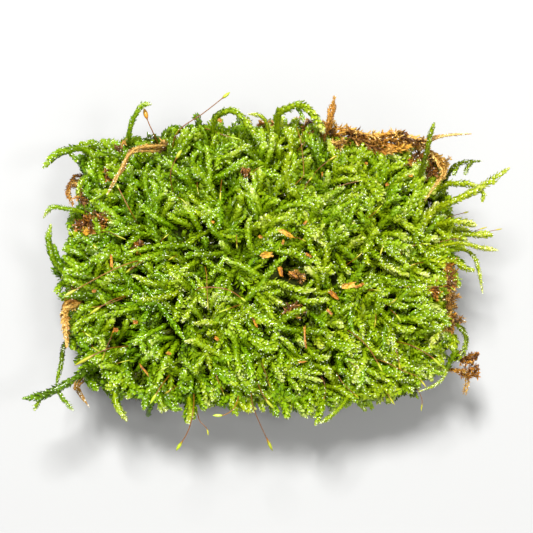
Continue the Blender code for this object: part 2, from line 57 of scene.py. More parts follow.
# How many places a shoot's route has, and those of longer and shorter ones
ROUTE_PLACES = 16
FINE_PLACES = 24
SHRED_PLACES = 10

# The cushion's form, as in its solid
HALF_LENGTH = 44.0
HALF_WIDTH = 31.2
CENTRE = (-1.9, 2.8)
SQUARENESS = 4.2
BASE_SHARE = 0.92
TOP_SHARE = 0.985
WIDEST_AT = 0.62
TOP = 22.5
MOUND = 2.2
MOUND_LENGTH = 12.0
EDGE_DROP = 3.4
EDGE_DROP_POWER = 7

# The dark bed that the living shoots grow out of
BED_CUTS = 5
BED_SMOOTHING = 3
BED_TOP_INSET = 3.0
BED_SIDE_INSET = 2.6
BED_ROUGHNESS = 1.1
BED_LUMPS = 420  # lumps and grains to a metre
BED_GRAINS = 1100
BED_FLAT = 0.0002  # in metres, as far up as the cut underneath reaches
BED_ROUGH_FROM = 0.003  # in metres, where the roughness is full

# Sprays over the upper surface
SPRAY_PITCH = (5.3, 4.6)
SPRAY_STRAY = (2.4, 2.1)
SPRAY_REACH = 0.93  # how near the rim they start
THIRDS = (-16, 14)  # where the middle piece of a layer starts and ends
SPRAY_LENGTH = (9.0, 15.0)
SPRAY_BEFORE = 0.45  # the share of its length that a spray starts before its place
SPRAY_SIZES = (0.86, 1.12)
TWIG_SIZE = 0.84
SPRAY_BEND = 0.6
FLOW_SOURCE = (-9.0, 3.0)  # the shoots head away from this place
FLOW_TURNS_OUT_AT = 0.6  # from here on they turn straight out, as a share of the way to the rim
WANDER = (1.1, 0.5)  # how far headings stray in the middle and at the rim, in radians
BRANCH_LENGTH = (3.6, 7.0)
BRANCHES_AT = (0.28, 0.45, 0.6, 0.74)
BRANCH_CHANCE = 0.55
BRANCH_SIDES = (0.15, 0.85)  # chances that a branch is on the other side, and on its usual one
BRANCH_AT_FOOT = 1.15  # branches are this long for their kind at the foot, and shrink towards the tip
BRANCH_SHRINKS = 0.5
BRANCH_ANGLE = (0.6, 1.1)
BRANCH_BEND = (0.2, 0.8)
BRANCH_RISE = (-0.9, 0.7)
BRANCH_SHARES = (0, 0.35, 0.7, 1.0)
# How shoots rise out of the surface: shares of their length, and heights there
LAID_SHARES = (0, 0.33, 0.66, 1.0)
LAID_RISES = (-2.6, 0.4, 1.2, 0.7)
LAID_STRAY = 0.35
FALL_PAST_RIM = 9  # how steeply they fall beyond the rim
# Tones of the living shoots, in patches that are yellower or greener
MEAN_TONE = 0.4
YELLOWER_TO_RIGHT = 0.0045  # for each millimetre
TONE_DRIFT = 0.4
DRIFT_LENGTH = 8.0

# Shoots round the rim and down the sides
RIM_SHOOTS = 150
RIM_LENGTH = (7, 12)
RIM_LIFT = (-2.2, 1.0)
RIM_SHADED_UNDER = -0.8
RIM_WANDER = 0.4
RIM_BEND = 0.5
RIM_AGES = (0.55, 0.8)
SIDE_SHOOTS = 550
SIDE_LENGTH = (6.0, 10.5)
SIDE_ROOT = 2.8  # how far inside the surface they start
SIDE_WAY = ((0.35, 2.2), (0.7, 3.2), (1, 3.4))  # shares of the length, and how far out each lies
SIDE_LEVELS = (0.03, 0.92)  # shares of the height that they start at
SIDE_CROWDING = 0.85  # less than 1 crowds them towards the top
SIDE_CLIMB = (-0.25, 1.0)
SIDE_SWING = (0.25, 1.0)
SIDE_FOOT = 0.12  # under this share of the height they climb less
SIDE_AGE = 0.22
SIDE_YOUNGER = 0.42  # at the top
SIDE_LOWEST = 1.2
SIDE_LEAST = 18  # they may reach this high even where the surface lies lower
SIDE_GREEN_FROM = 0.3  # share of the height

# The shoots that lie uppermost
CHIEF_ROOT = 2.4  # how far before its foot each starts, inside the cushion
CHIEF_RISES = (-2.4, 0.0, 1.3, 1.9, 2.0, 1.4)
CHIEF_LIFT = (-0.6, 0.5)
CHIEF_STRAY = 0.12
CHIEF_PLACES = 20
# Higher than the layers below: partly younger growth and partly painted light on the uppermost shoots
CHIEF_AGES = (0.64, 0.84)
CHIEF_SIZES = (0.84, 1.06)
CHIEF_SPLIT = 1  # the back piece starts here
# Where the surface drops at the rim, what lies on it stays above these heights
CHIEF_LEAST = 18.4
STRAND_LEAST = 18.6
CHIP_LEAST = 19
DIED_LEAST = 17

# The line that the tips of the rim's shoots reach, seen from above
EDGE = [
    (-44.6, 29.8), (-41.4, 31.2), (-34, 31.2), (-30.4, 31.2), (-28, 29.8), (-25.6, 30.4), (-23.4, 33),
    (-19.9, 34.8), (-13.4, 35.8), (-6.7, 35.2), (-0.1, 35.8), (7.5, 36), (13, 33.6), (16, 30.6),
    (23.7, 28.2), (30.8, 28.2), (35.6, 26.4), (40.4, 21.8), (42.4, 16.4), (43, 9.4), (42, 1.1), (40.6, -4),
    (40.6, -8.3), (42.2, -15.1), (40.4, -19.6), (37, -23.4), (34.2, -27), (29.1, -29.4), (18.8, -30.6),
    (12.3, -32.2), (4.9, -32.2), (-1.5, -31.6), (-7.7, -30.6), (-14.6, -29.8), (-22.6, -29.4),
    (-29.6, -27.8), (-36.1, -26.6), (-39.8, -23.5), (-42.4, -19.4), (-44.8, -14.8), (-46.8, -8.2),
    (-48, -2.3), (-48.3, 3.1), (-45.6, 8.2), (-43, 13.9), (-41.4, 21), (-43.4, 26.2),
]
EDGE_SPREAD = 1.1  # how far a tip may pass that line, or fall short of it

# Places where the top layer opens and the ground shows: middle and radius
GAPS = [
    (5, -8.5, 2.3), (-19.2, 10.3, 2), (9.4, -24.3, 1.5), (36.8, -15.2, 2), (-18.3, -25.9, 1.9),
    (-32.8, -11, 1.6), (6.9, -0.8, 2.2), (14.6, -1.7, 1.4), (14.7, 4, 1), (-14, -9.1, 1.4),
    (-10.6, -27.7, 1.7), (-30.3, 6.2, 2), (11.3, -17.8, 1.3), (5.4, -15, 1.1), (-29.6, 26.7, 1.8),
    (-33.7, 19.3, 1.3), (-7.1, 26.6, 1.3), (3.4, 25.9, 1.4), (0.4, 25.8, 1.2), (-32.3, -14.3, 1.6),
    (-36, -14.5, 1.4), (-40.8, 10.8, 2.4), (-27.1, 4.7, 1.2), (-15.1, 0.8, 1.2), (12.3, 32.5, 1.3),
    (27.3, 10, 1.1),
]

# Free shoots: the largest radius of each, then its route from inside the cushion to its tip
FREE_SHOOTS = {
    "back_left_arm": (1.15, [
        (-37.3, 26.4, 18), (-42.8, 28.9, 23), (-46.3, 28.2, 25), (-49.3, 27.1, 24.6), (-52, 24.8, 23),
    ]),
    "left_hanging": (0.9, [(-38.6, 23.2, 17), (-42.4, 22.8, 20.6), (-44, 20.6, 21), (-44.2, 17.2, 20.2)]),
    "left_hook": (0.75, [
        (-37.9, 12.8, 17), (-43.2, 14.3, 22), (-46.6, 14.7, 24.2), (-50, 15, 24), (-51.9, 13, 22.4),
    ]),
    "left_upright": (0.95, [
        (-42.3, -1.6, 16), (-47.7, 0.4, 21), (-49.8, 3.8, 23.4), (-50.5, 7.4, 24.4), (-50, 10.7, 24.6),
    ]),
    "back_left_spike": (0.85, [
        (-32.5, 30.7, 17), (-32.4, 32, 24), (-31.6, 34.2, 26), (-30.4, 36.3, 27.6), (-28.9, 38, 28.4),
        (-27.1, 38.3, 28.4),
    ]),
    "back_arch": (1.0, [
        (-13.1, 30, 17), (-12.8, 34.4, 24), (-11.9, 36.2, 26), (-10.2, 36.6, 27.6), (-8.1, 36.8, 28.4),
        (-6.3, 35.3, 28.4), (-4.5, 33.4, 27.9), (-2.6, 31.1, 26.6),
    ]),
    "back_small_arch": (0.65, [
        (0.4, 30, 17), (-0.1, 33.8, 21.4), (-0.7, 35.5, 23.4), (-2.1, 36.7, 24), (-4.5, 37.1, 23.6),
    ]),
    "back_high_arch": (1.25, [
        (3, 30, 17), (2, 34.5, 23.5), (2.3, 36.7, 26), (4.3, 37.5, 27.4), (7.2, 38.1, 28.4),
        (9.6, 36.4, 28.7), (11.8, 33.4, 28.2), (12.5, 32.2, 27.4),
    ]),
    "back_right_spike": (0.8, [
        (34.3, 19, 17), (35.4, 24.1, 24.6), (36.4, 27.9, 27), (37, 30.9, 28.2), (37.9, 33.7, 28.6),
    ]),
    "right_dark_arm": (0.7, [
        (38.6, 16.7, 16), (41.3, 22.1, 19.4), (42.7, 24.5, 22), (44.8, 25.6, 23.4), (49.2, 25.9, 24.2),
    ]),
    "right_long_arm": (1.15, [
        (35.8, 13.9, 20), (40.4, 15.5, 24.6), (45.2, 17.5, 25.6), (50.1, 20.2, 26), (55, 23.6, 26.6),
    ]),
    "right_upper_arm": (1.0, [(36.6, 18.7, 18.6), (41, 20.6, 22.8), (44.6, 20.6, 24), (48, 20.1, 24.4)]),
    "right_arm_one": (1.1, [
        (36.5, 10.9, 19.6), (41.6, 11.8, 23.6), (44.7, 11.5, 24.2), (47.5, 10.9, 24.1),
    ]),
    "right_arm_two": (1.1, [(37.8, 7.8, 16.6), (43.8, 9.2, 20.6), (48.5, 9.1, 21.6), (51.6, 9, 21.6)]),
    "right_arm_three": (0.75, [(36.9, 5.9, 18.8), (43.6, 6.9, 23), (48.8, 5.7, 23.6), (52.5, 5.1, 23.6)]),
    "right_drooping": (0.68, [
        (38.5, 4.6, 14), (44.7, 6.1, 18.6), (47.5, 4.2, 20.4), (48.6, 1.2, 20.4), (49.6, -4.2, 19.4),
    ]),
    "right_short": (0.9, [(37.4, 1.7, 18.6), (42.1, 3, 22.2), (44.5, 1.4, 23), (47.2, 0.5, 22.6)]),
    "right_front_bow": (0.55, [
        (37.7, -19, 17), (40.5, -22, 21), (39.8, -24.1, 22), (38, -25.7, 22), (34.3, -27.2, 21.6),
    ]),
    "right_front_loop": (0.8, [
        (38, -8.6, 15), (43, -11.4, 19.8), (45.2, -14.2, 21.2), (45, -17.4, 20.8), (43.6, -20, 19.4),
    ]),
    "front_tuft": (1.15, [(12.6, -25.4, 17), (12.2, -30.2, 22), (10.8, -34.4, 22)]),
    "front_tuft_arm": (0.7, [
        (20.7, -24.3, 17), (17.1, -29.8, 23.4), (14.1, -32.8, 24.8), (11.9, -34.3, 24.8),
    ]),
    "front_left_tip": (1.0, [
        (-34.9, -22.4, 16), (-35.1, -28.2, 22), (-34.1, -31, 22.4), (-32.5, -33.6, 21),
    ]),
    "front_tip": (1.05, [(-18.2, -25.4, 17), (-18, -30, 22), (-17.7, -31.8, 22), (-18.2, -34, 21.6)]),
    "front_left_long": (1.2, [
        (-35.6, -18.4, 16), (-40.2, -21.4, 22.6), (-44, -24.4, 24.2), (-48, -26.8, 25.2),
        (-51.4, -28.4, 25.6), (-55, -28.9, 26),
    ]),
    "front_left_thin": (0.75, [
        (-41.7, -11.5, 14), (-46.8, -15.6, 18.6), (-47.5, -20.4, 20.6), (-48.4, -25.7, 21.6),
    ]),
}
FULL_SHOOT = 1.15  # the radius of a shoot with leaves of full size
# Side branches of the free shoots
BRANCHES = {
    "back_left_arm": [[(-46.3, 28.2, 25), (-45.3, 27, 24.4), (-44.3, 25.9, 24)]],
    "right_long_arm": [[(48.2, 19.1, 25.9), (49.4, 17.9, 25.2), (49.2, 16.4, 24.6)]],
    "right_dark_arm": [
        [(44.2, 25.4, 23.2), (43.6, 24.2, 22.6), (43, 23.2, 22)],
        [(47.2, 25.8, 23.8), (46.2, 24.6, 23.2), (45.6, 23, 22.6)],
    ],
    "back_high_arch": [
        [(6, 38, 28), (7.4, 36.6, 27.4), (8, 34.8, 26.6)],
        [(8.4, 37.4, 28.6), (10.2, 36.4, 28), (11.8, 34.8, 27.4)],
    ],
    "front_left_long": [
        [(-51.2, -28.3, 25.6), (-52, -29.8, 25), (-52.8, -31.4, 24.6)],
        [(-47.8, -26.7, 25.2), (-46.6, -28.8, 24), (-44.4, -31.4, 23)],
    ],
}
BRANCH_SIZE = 0.62
FRESH_AGES = (0.68, 0.84)
# The free shoots that are older than that, with their ages
OLDER_SHOOTS = {
    "right_dark_arm": 0.3, "front_left_thin": 0.48,
    "front_left_long": 0.52, "right_front_loop": 0.5, "back_right_spike": 0.52,
}
YOUNGER_BRANCHES = 0.2
DARK_SHOOTS = ("right_dark_arm", "front_left_thin")
FREE_TONE = 0.28

# Dead strands: largest radius, how pale they are, how far they thin out, how their leaves stand,
# and the route
DEAD_STRANDS = {
    "dead_shoot_back_left": (1.0, 0.58, 0.7, "faded", [
        (-24.6, 29.2, 23.4), (-28.4, 28.4, 26.6), (-31.4, 27.2, 28.2), (-33, 24, 28.4), (-35, 20.6, 28),
        (-37, 17.2, 27.2),
    ]),
    "dead_spike_back": (1.4, 0.3, 0.92, "faded", [
        (13.3, 31, 19), (13.6, 33.1, 23.6), (14.5, 35.4, 26), (14.4, 37.6, 27), (15.1, 39.6, 27.4),
        (15.5, 40.6, 27.4),
    ]),
    "dead_strand_right": (0.75, 0.45, 0.35, "faded", [
        (35.1, 30.4, 23.6), (37.8, 31, 24.4), (41.3, 31.7, 24.6), (46.9, 32.3, 24.2),
    ]),
    "dead_curl_right": (1.3, 0.45, 0.7, "withered", [
        (37.4, 29, 19.6), (39.1, 27.6, 22), (40.4, 25.2, 23.4), (40.5, 22.9, 24.4), (38.9, 20.7, 25.6),
        (35.7, 16.4, 27),
    ]),
    "dead_edge_right": (1.15, 0.3, 0.3, "withered", [
        (38.6, 1.4, 13), (41.2, 0.9, 16.6), (41.8, -3, 17.6), (42, -7.6, 17.4), (42.3, -12.2, 17),
    ]),
    "dead_clump_left": (1.5, 0.55, 0.3, "faded", [
        (-41.5, -5.8, 18), (-45.1, -6.6, 22.5), (-46.5, -8.9, 24), (-46.4, -12.2, 24), (-46, -16.9, 23.4),
    ]),
    "dead_sprig_front_left": (0.75, 0.6, 0.7, "faded", [
        (-40.5, -20.8, 13), (-44.4, -25.1, 17.6), (-43.7, -26.8, 18.6), (-42.7, -28.5, 18.6),
        (-41.2, -30.6, 18.4),
    ]),
    "dead_tuft_left": (0.85, 0.35, 0.3, "withered", [
        (-41.4, 23.2, 14), (-45.2, 23.2, 15.4), (-46.8, 22, 16.6), (-47, 19.6, 17), (-46, 16.8, 16.8),
    ]),
}
DEAD_PLIES = 4
PLIES_STRAY = (0.45, 0.12)  # in radii, at the foot and the tip
PLY_SIZE = 0.75
DEAD_AGES = (0.45, 0.85)
# The matted band: its middle line, then its front and back edges as x and y
BAND = [
    (15.2, 33.8, 20.8), (18.6, 32.4, 22), (21.8, 31, 22.4),
    (26.9, 30.6, 22.6), (30.6, 30.9, 22.8), (33.8, 30.4, 22.8),
]
BAND_FRONT = ((13, 17, 21, 26, 30, 34), (33, 32, 28.8, 28, 28.6, 29.8))
BAND_BACK = ((13, 18, 23, 28, 33, 36), (35, 33.8, 31.8, 32.6, 32.4, 30.6))
BAND_ENDS = (13.4, 35.6)
BAND_WIDTHS = ((16, 24), (0.6, 1.1))
BAND_PLACES = 60
BAND_STRANDS = 46
BAND_STARTS = (-4, 48)
BAND_AIM = 8  # how many places further on a strand heads for
BAND_LENGTH = (3.5, 7.5)
BAND_JOINT = (47, 46, 46, 45, 44, 42)  # places where strands start that join the band to dead_strand_right
BAND_JOINT_REACH = 5.5
# The tuft: its stem, its tips, and the box that the shreds of its knot stay in
TUFT = [(38.4, -21, 12), (43, -21.8, 15.6), (45.4, -22.2, 16.6)]
TUFT_TIPS = [(48.2, -20.3, 17.4), (48.4, -23.3, 17), (45.2, -27.3, 16.6), (46.1, -18.5, 18.2)]
TUFT_KNOT = (0, 1, 3)  # the tips that the knot lies between
TUFT_LEG = 2  # the tip of its pale leg
TUFT_BOX = ((44.6, -23.6, 15.8), (48.3, -18.4, 18.6))
TUFT_SHREDS = 34

# Fruiting stalks: length and radius of the pale tip, then the route from the foot to the tip
STALKS = {
    "stalk_back": (2.4, 0.42, [(-23, 27.9, 21), (-20.7, 32.3, 27), (-14.8, 36.1, 29), (-8.8, 40.8, 29.6)]),
    "stalk_back_left": (2.6, 0.55, [
        (-25.4, 29.8, 20), (-26.6, 32.2, 25), (-27.8, 34.8, 26.4), (-28.7, 37.7, 26.6),
    ]),
    "stalk_front_left": (2.6, 0.42, [
        (-17.2, -26.6, 22), (-16.9, -31, 25.6), (-18, -36, 25.6), (-20.8, -40.6, 24.2),
    ]),
    "stalk_front": (3.0, 0.42, [
        (-4.2, -24.5, 21), (-3.7, -29.7, 25.4), (-2.4, -33.5, 25.6), (0.9, -40.6, 24.2),
    ]),
    "stalk_front_loop": (2.4, 0.35, [
        (-6.5, -26.3, 21), (-7.5, -30.6, 24.6), (-9.8, -32.5, 25), (-12.6, -32.7, 24.8),
    ]),
    "stalk_left_long": (3.4, 0.36, [
        (-27.6, 3.4, 23), (-31.6, 1.6, 27.4), (-36.8, -0.8, 28), (-46.4, -6, 27.2),
    ]),
    "stalk_left_low": (5.2, 0.4, [
        (-31.4, -16.6, 23), (-35.3, -17.6, 27), (-38.5, -18.9, 27.8), (-43.6, -21.6, 27.6),
    ]),
    "stalk_left_middle": (3.2, 0.36, [
        (-31.3, -4.7, 23), (-34.7, -6.5, 27), (-37.6, -8.2, 27.8), (-40.4, -10.1, 27.8),
    ]),
    "stalk_front_slanting": (3.0, 0.36, [
        (-22.3, -22.7, 22), (-24.1, -26.1, 26.4), (-25.3, -28.1, 27), (-26.6, -30.2, 26.6),
    ]),
    "stalk_front_short": (3.0, 0.36, [
        (-2.9, -24.1, 22), (-1.8, -27, 26.4), (-0.5, -29.3, 26.5), (1.2, -31.2, 26.2),
    ]),
    "stalk_right_front": (3.2, 0.34, [
        (29, -15.6, 22), (32, -17, 27), (36, -19.2, 27.4), (39, -21.8, 26.8),
    ]),
    "stalk_middle_right": (2.4, 0.3, [
        (17.6, -12.6, 22), (19.8, -15, 27.2), (22.6, -17.8, 27.8), (25.6, -23, 27.6),
    ]),
    "stalk_upper_left": (2.6, 0.45, [
        (-22, 18, 22), (-22.4, 21.4, 27.2), (-21.8, 24.2, 28.2), (-19.8, 27.6, 28.6),
    ]),
    "stalk_left_fine": (1.6, 0.28, [
        (-30.2, 11.4, 22), (-31.3, 13.3, 27), (-33, 16.5, 27.4), (-34.9, 20.2, 26.6),
    ]),
    "stalk_arc": (1.8, 0.3, [
        (-16.8, -4.6, 22), (-15.8, -4.2, 27.6), (-12.6, -4, 28.3), (-8.6, -4.8, 28.3), (-5, -7.2, 27.1),
    ]),
}
STALK_RADIUS = 0.14
STALK_END = 0.05
STALK_AGES = (0.12, 0.4)
STALK_PLACES = 30
STALK_SIDES = 6
RIPE_STALK = "stalk_back_left"
RIPE_TONE = 0.95
STRAND_RADIUS = 0.1
STRAND_RISES = ((0, 0.2, 0.8, 1), (0.4, 2.5, 2.9, 2.6))  # shares of the way, and heights over the surface

# Bits of bark that lie on the moss: middle, length, width and heading in degrees
BARK = {
    "bark_tan": ((-0.3, 3.4, 28.2), 2.6, 1.3, 5),
    "bark_splinter": ((4, 8.2, 28.4), 3.4, 0.9, -35),
    "bark_orange": ((18.2, -3.6, 28.2), 3.0, 1.2, 12),
}
BARK_THICKNESS = 0.16
# Smaller chips that lie on the shoots: place, length, width and heading in degrees
CHIPS = [
    (4.4, 8.7, 1.6, 0.7, -30), (3.3, 6.7, 1.1, 0.5, 80), (9.2, 3.7, 1.4, 0.5, -30),
    (2.8, -0.1, 2.2, 0.8, -75), (5.6, -0.8, 2.2, 0.5, -40), (14.9, -5.3, 2.8, 0.8, -40),
    (20.8, -3.1, 2.2, 0.6, 25), (8.5, 11.2, 1.1, 0.4, 50), (-39.8, -4.4, 0.9, 0.7, 0),
    (-41.8, 9.6, 1.5, 1.2, 60), (-35.9, 2.5, 2.8, 0.6, 92), (-11.8, -15.4, 1, 0.7, -30),
    (-22.7, -18.6, 1, 0.6, -30), (-3.2, -11.4, 2.5, 0.5, -65), (-34.9, -13.3, 1.1, 1, 0),
    (-30.4, -11.5, 0.9, 0.8, 0), (-28.4, -22.2, 3.1, 0.4, -50), (8.2, -14.9, 4.2, 0.32, -88),
    (7.6, -20.6, 1.4, 0.3, 0), (13.9, -9.2, 1.5, 0.5, -50), (-11.6, 36.2, 1.7, 0.8, -15),
    (22.5, 25.1, 0.6, 0.5, 0), (27.3, 20.3, 0.8, 0.5, 10), (33, 22.7, 0.9, 0.5, 0),
    (12.4, 22.7, 1, 0.3, 90), (8.7, 32.3, 1.8, 0.8, 20), (-12.7, 11.3, 0.8, 0.5, -10),
    (-1.9, 8, 0.9, 0.6, -30),
]
CHIP_RISE = 2.7

# Places where the living shoots have died back: middle, radius and how pale they are
DIED_BACK = [
    (-5.7, 23.9, 0.9, 0.1), (-42.8, 12, 2, 0.1), (-40.4, 11.4, 2.2, 0.1), (-38, 12.6, 1.6, 0.1),
    (-40.8, 9.2, 1.8, 0.3), (37.5, -4.1, 2.2, 0.1), (41.2, 1.8, 1.2, 0.1), (41.6, -2.4, 1.3, 0.6),
    (41.8, -12, 1.3, 0.6), (-34.4, 29.1, 1.5, 0.6), (-37.1, 22.6, 1.4, 0.1), (-24.1, 29.5, 1.3, 0.7),
    (5.7, 34.7, 1.6, 0.3), (-1, 34.7, 1.4, 0.2), (5, -8.4, 1.9, 0.3), (37.7, 23.9, 1.4, 0.2),
    (33.6, 26.1, 1.3, 0.2), (35, 27.6, 1.4, 0.3), (41.6, -7.6, 1.2, 0.5), (7, -0.9, 1.3, 0.3),
    (-29.8, 6, 1.2, 0.1), (-44.6, -4, 1.2, 0.6), (43.8, -19.1, 1.3, 0.2), (13.4, 33.4, 1.6, 0.8),
    (14.2, 34.6, 1.2, 0.9), (38.6, 27, 1.6, 0.5), (39.4, 25.4, 1.5, 0.5), (-44, 20.4, 1.6, 0.5),
    (-43.4, 17.8, 1.3, 0.4), (41.4, 2.2, 1.6, 0.2), (41.6, -1.4, 1.8, 0.3), (42.2, -10.6, 1.7, 0.4),
    (42, -5.4, 1.4, 0.6), (1.6, 35, 1.2, 0.2), (8.9, 34.4, 1.6, 0.3), (8.9, 32.4, 1.3, 0.2),
    (16.3, 30, 1.4, 0.6), (40.4, 26.4, 1.5, 0.6),
]
DIED_RISE = 1.5

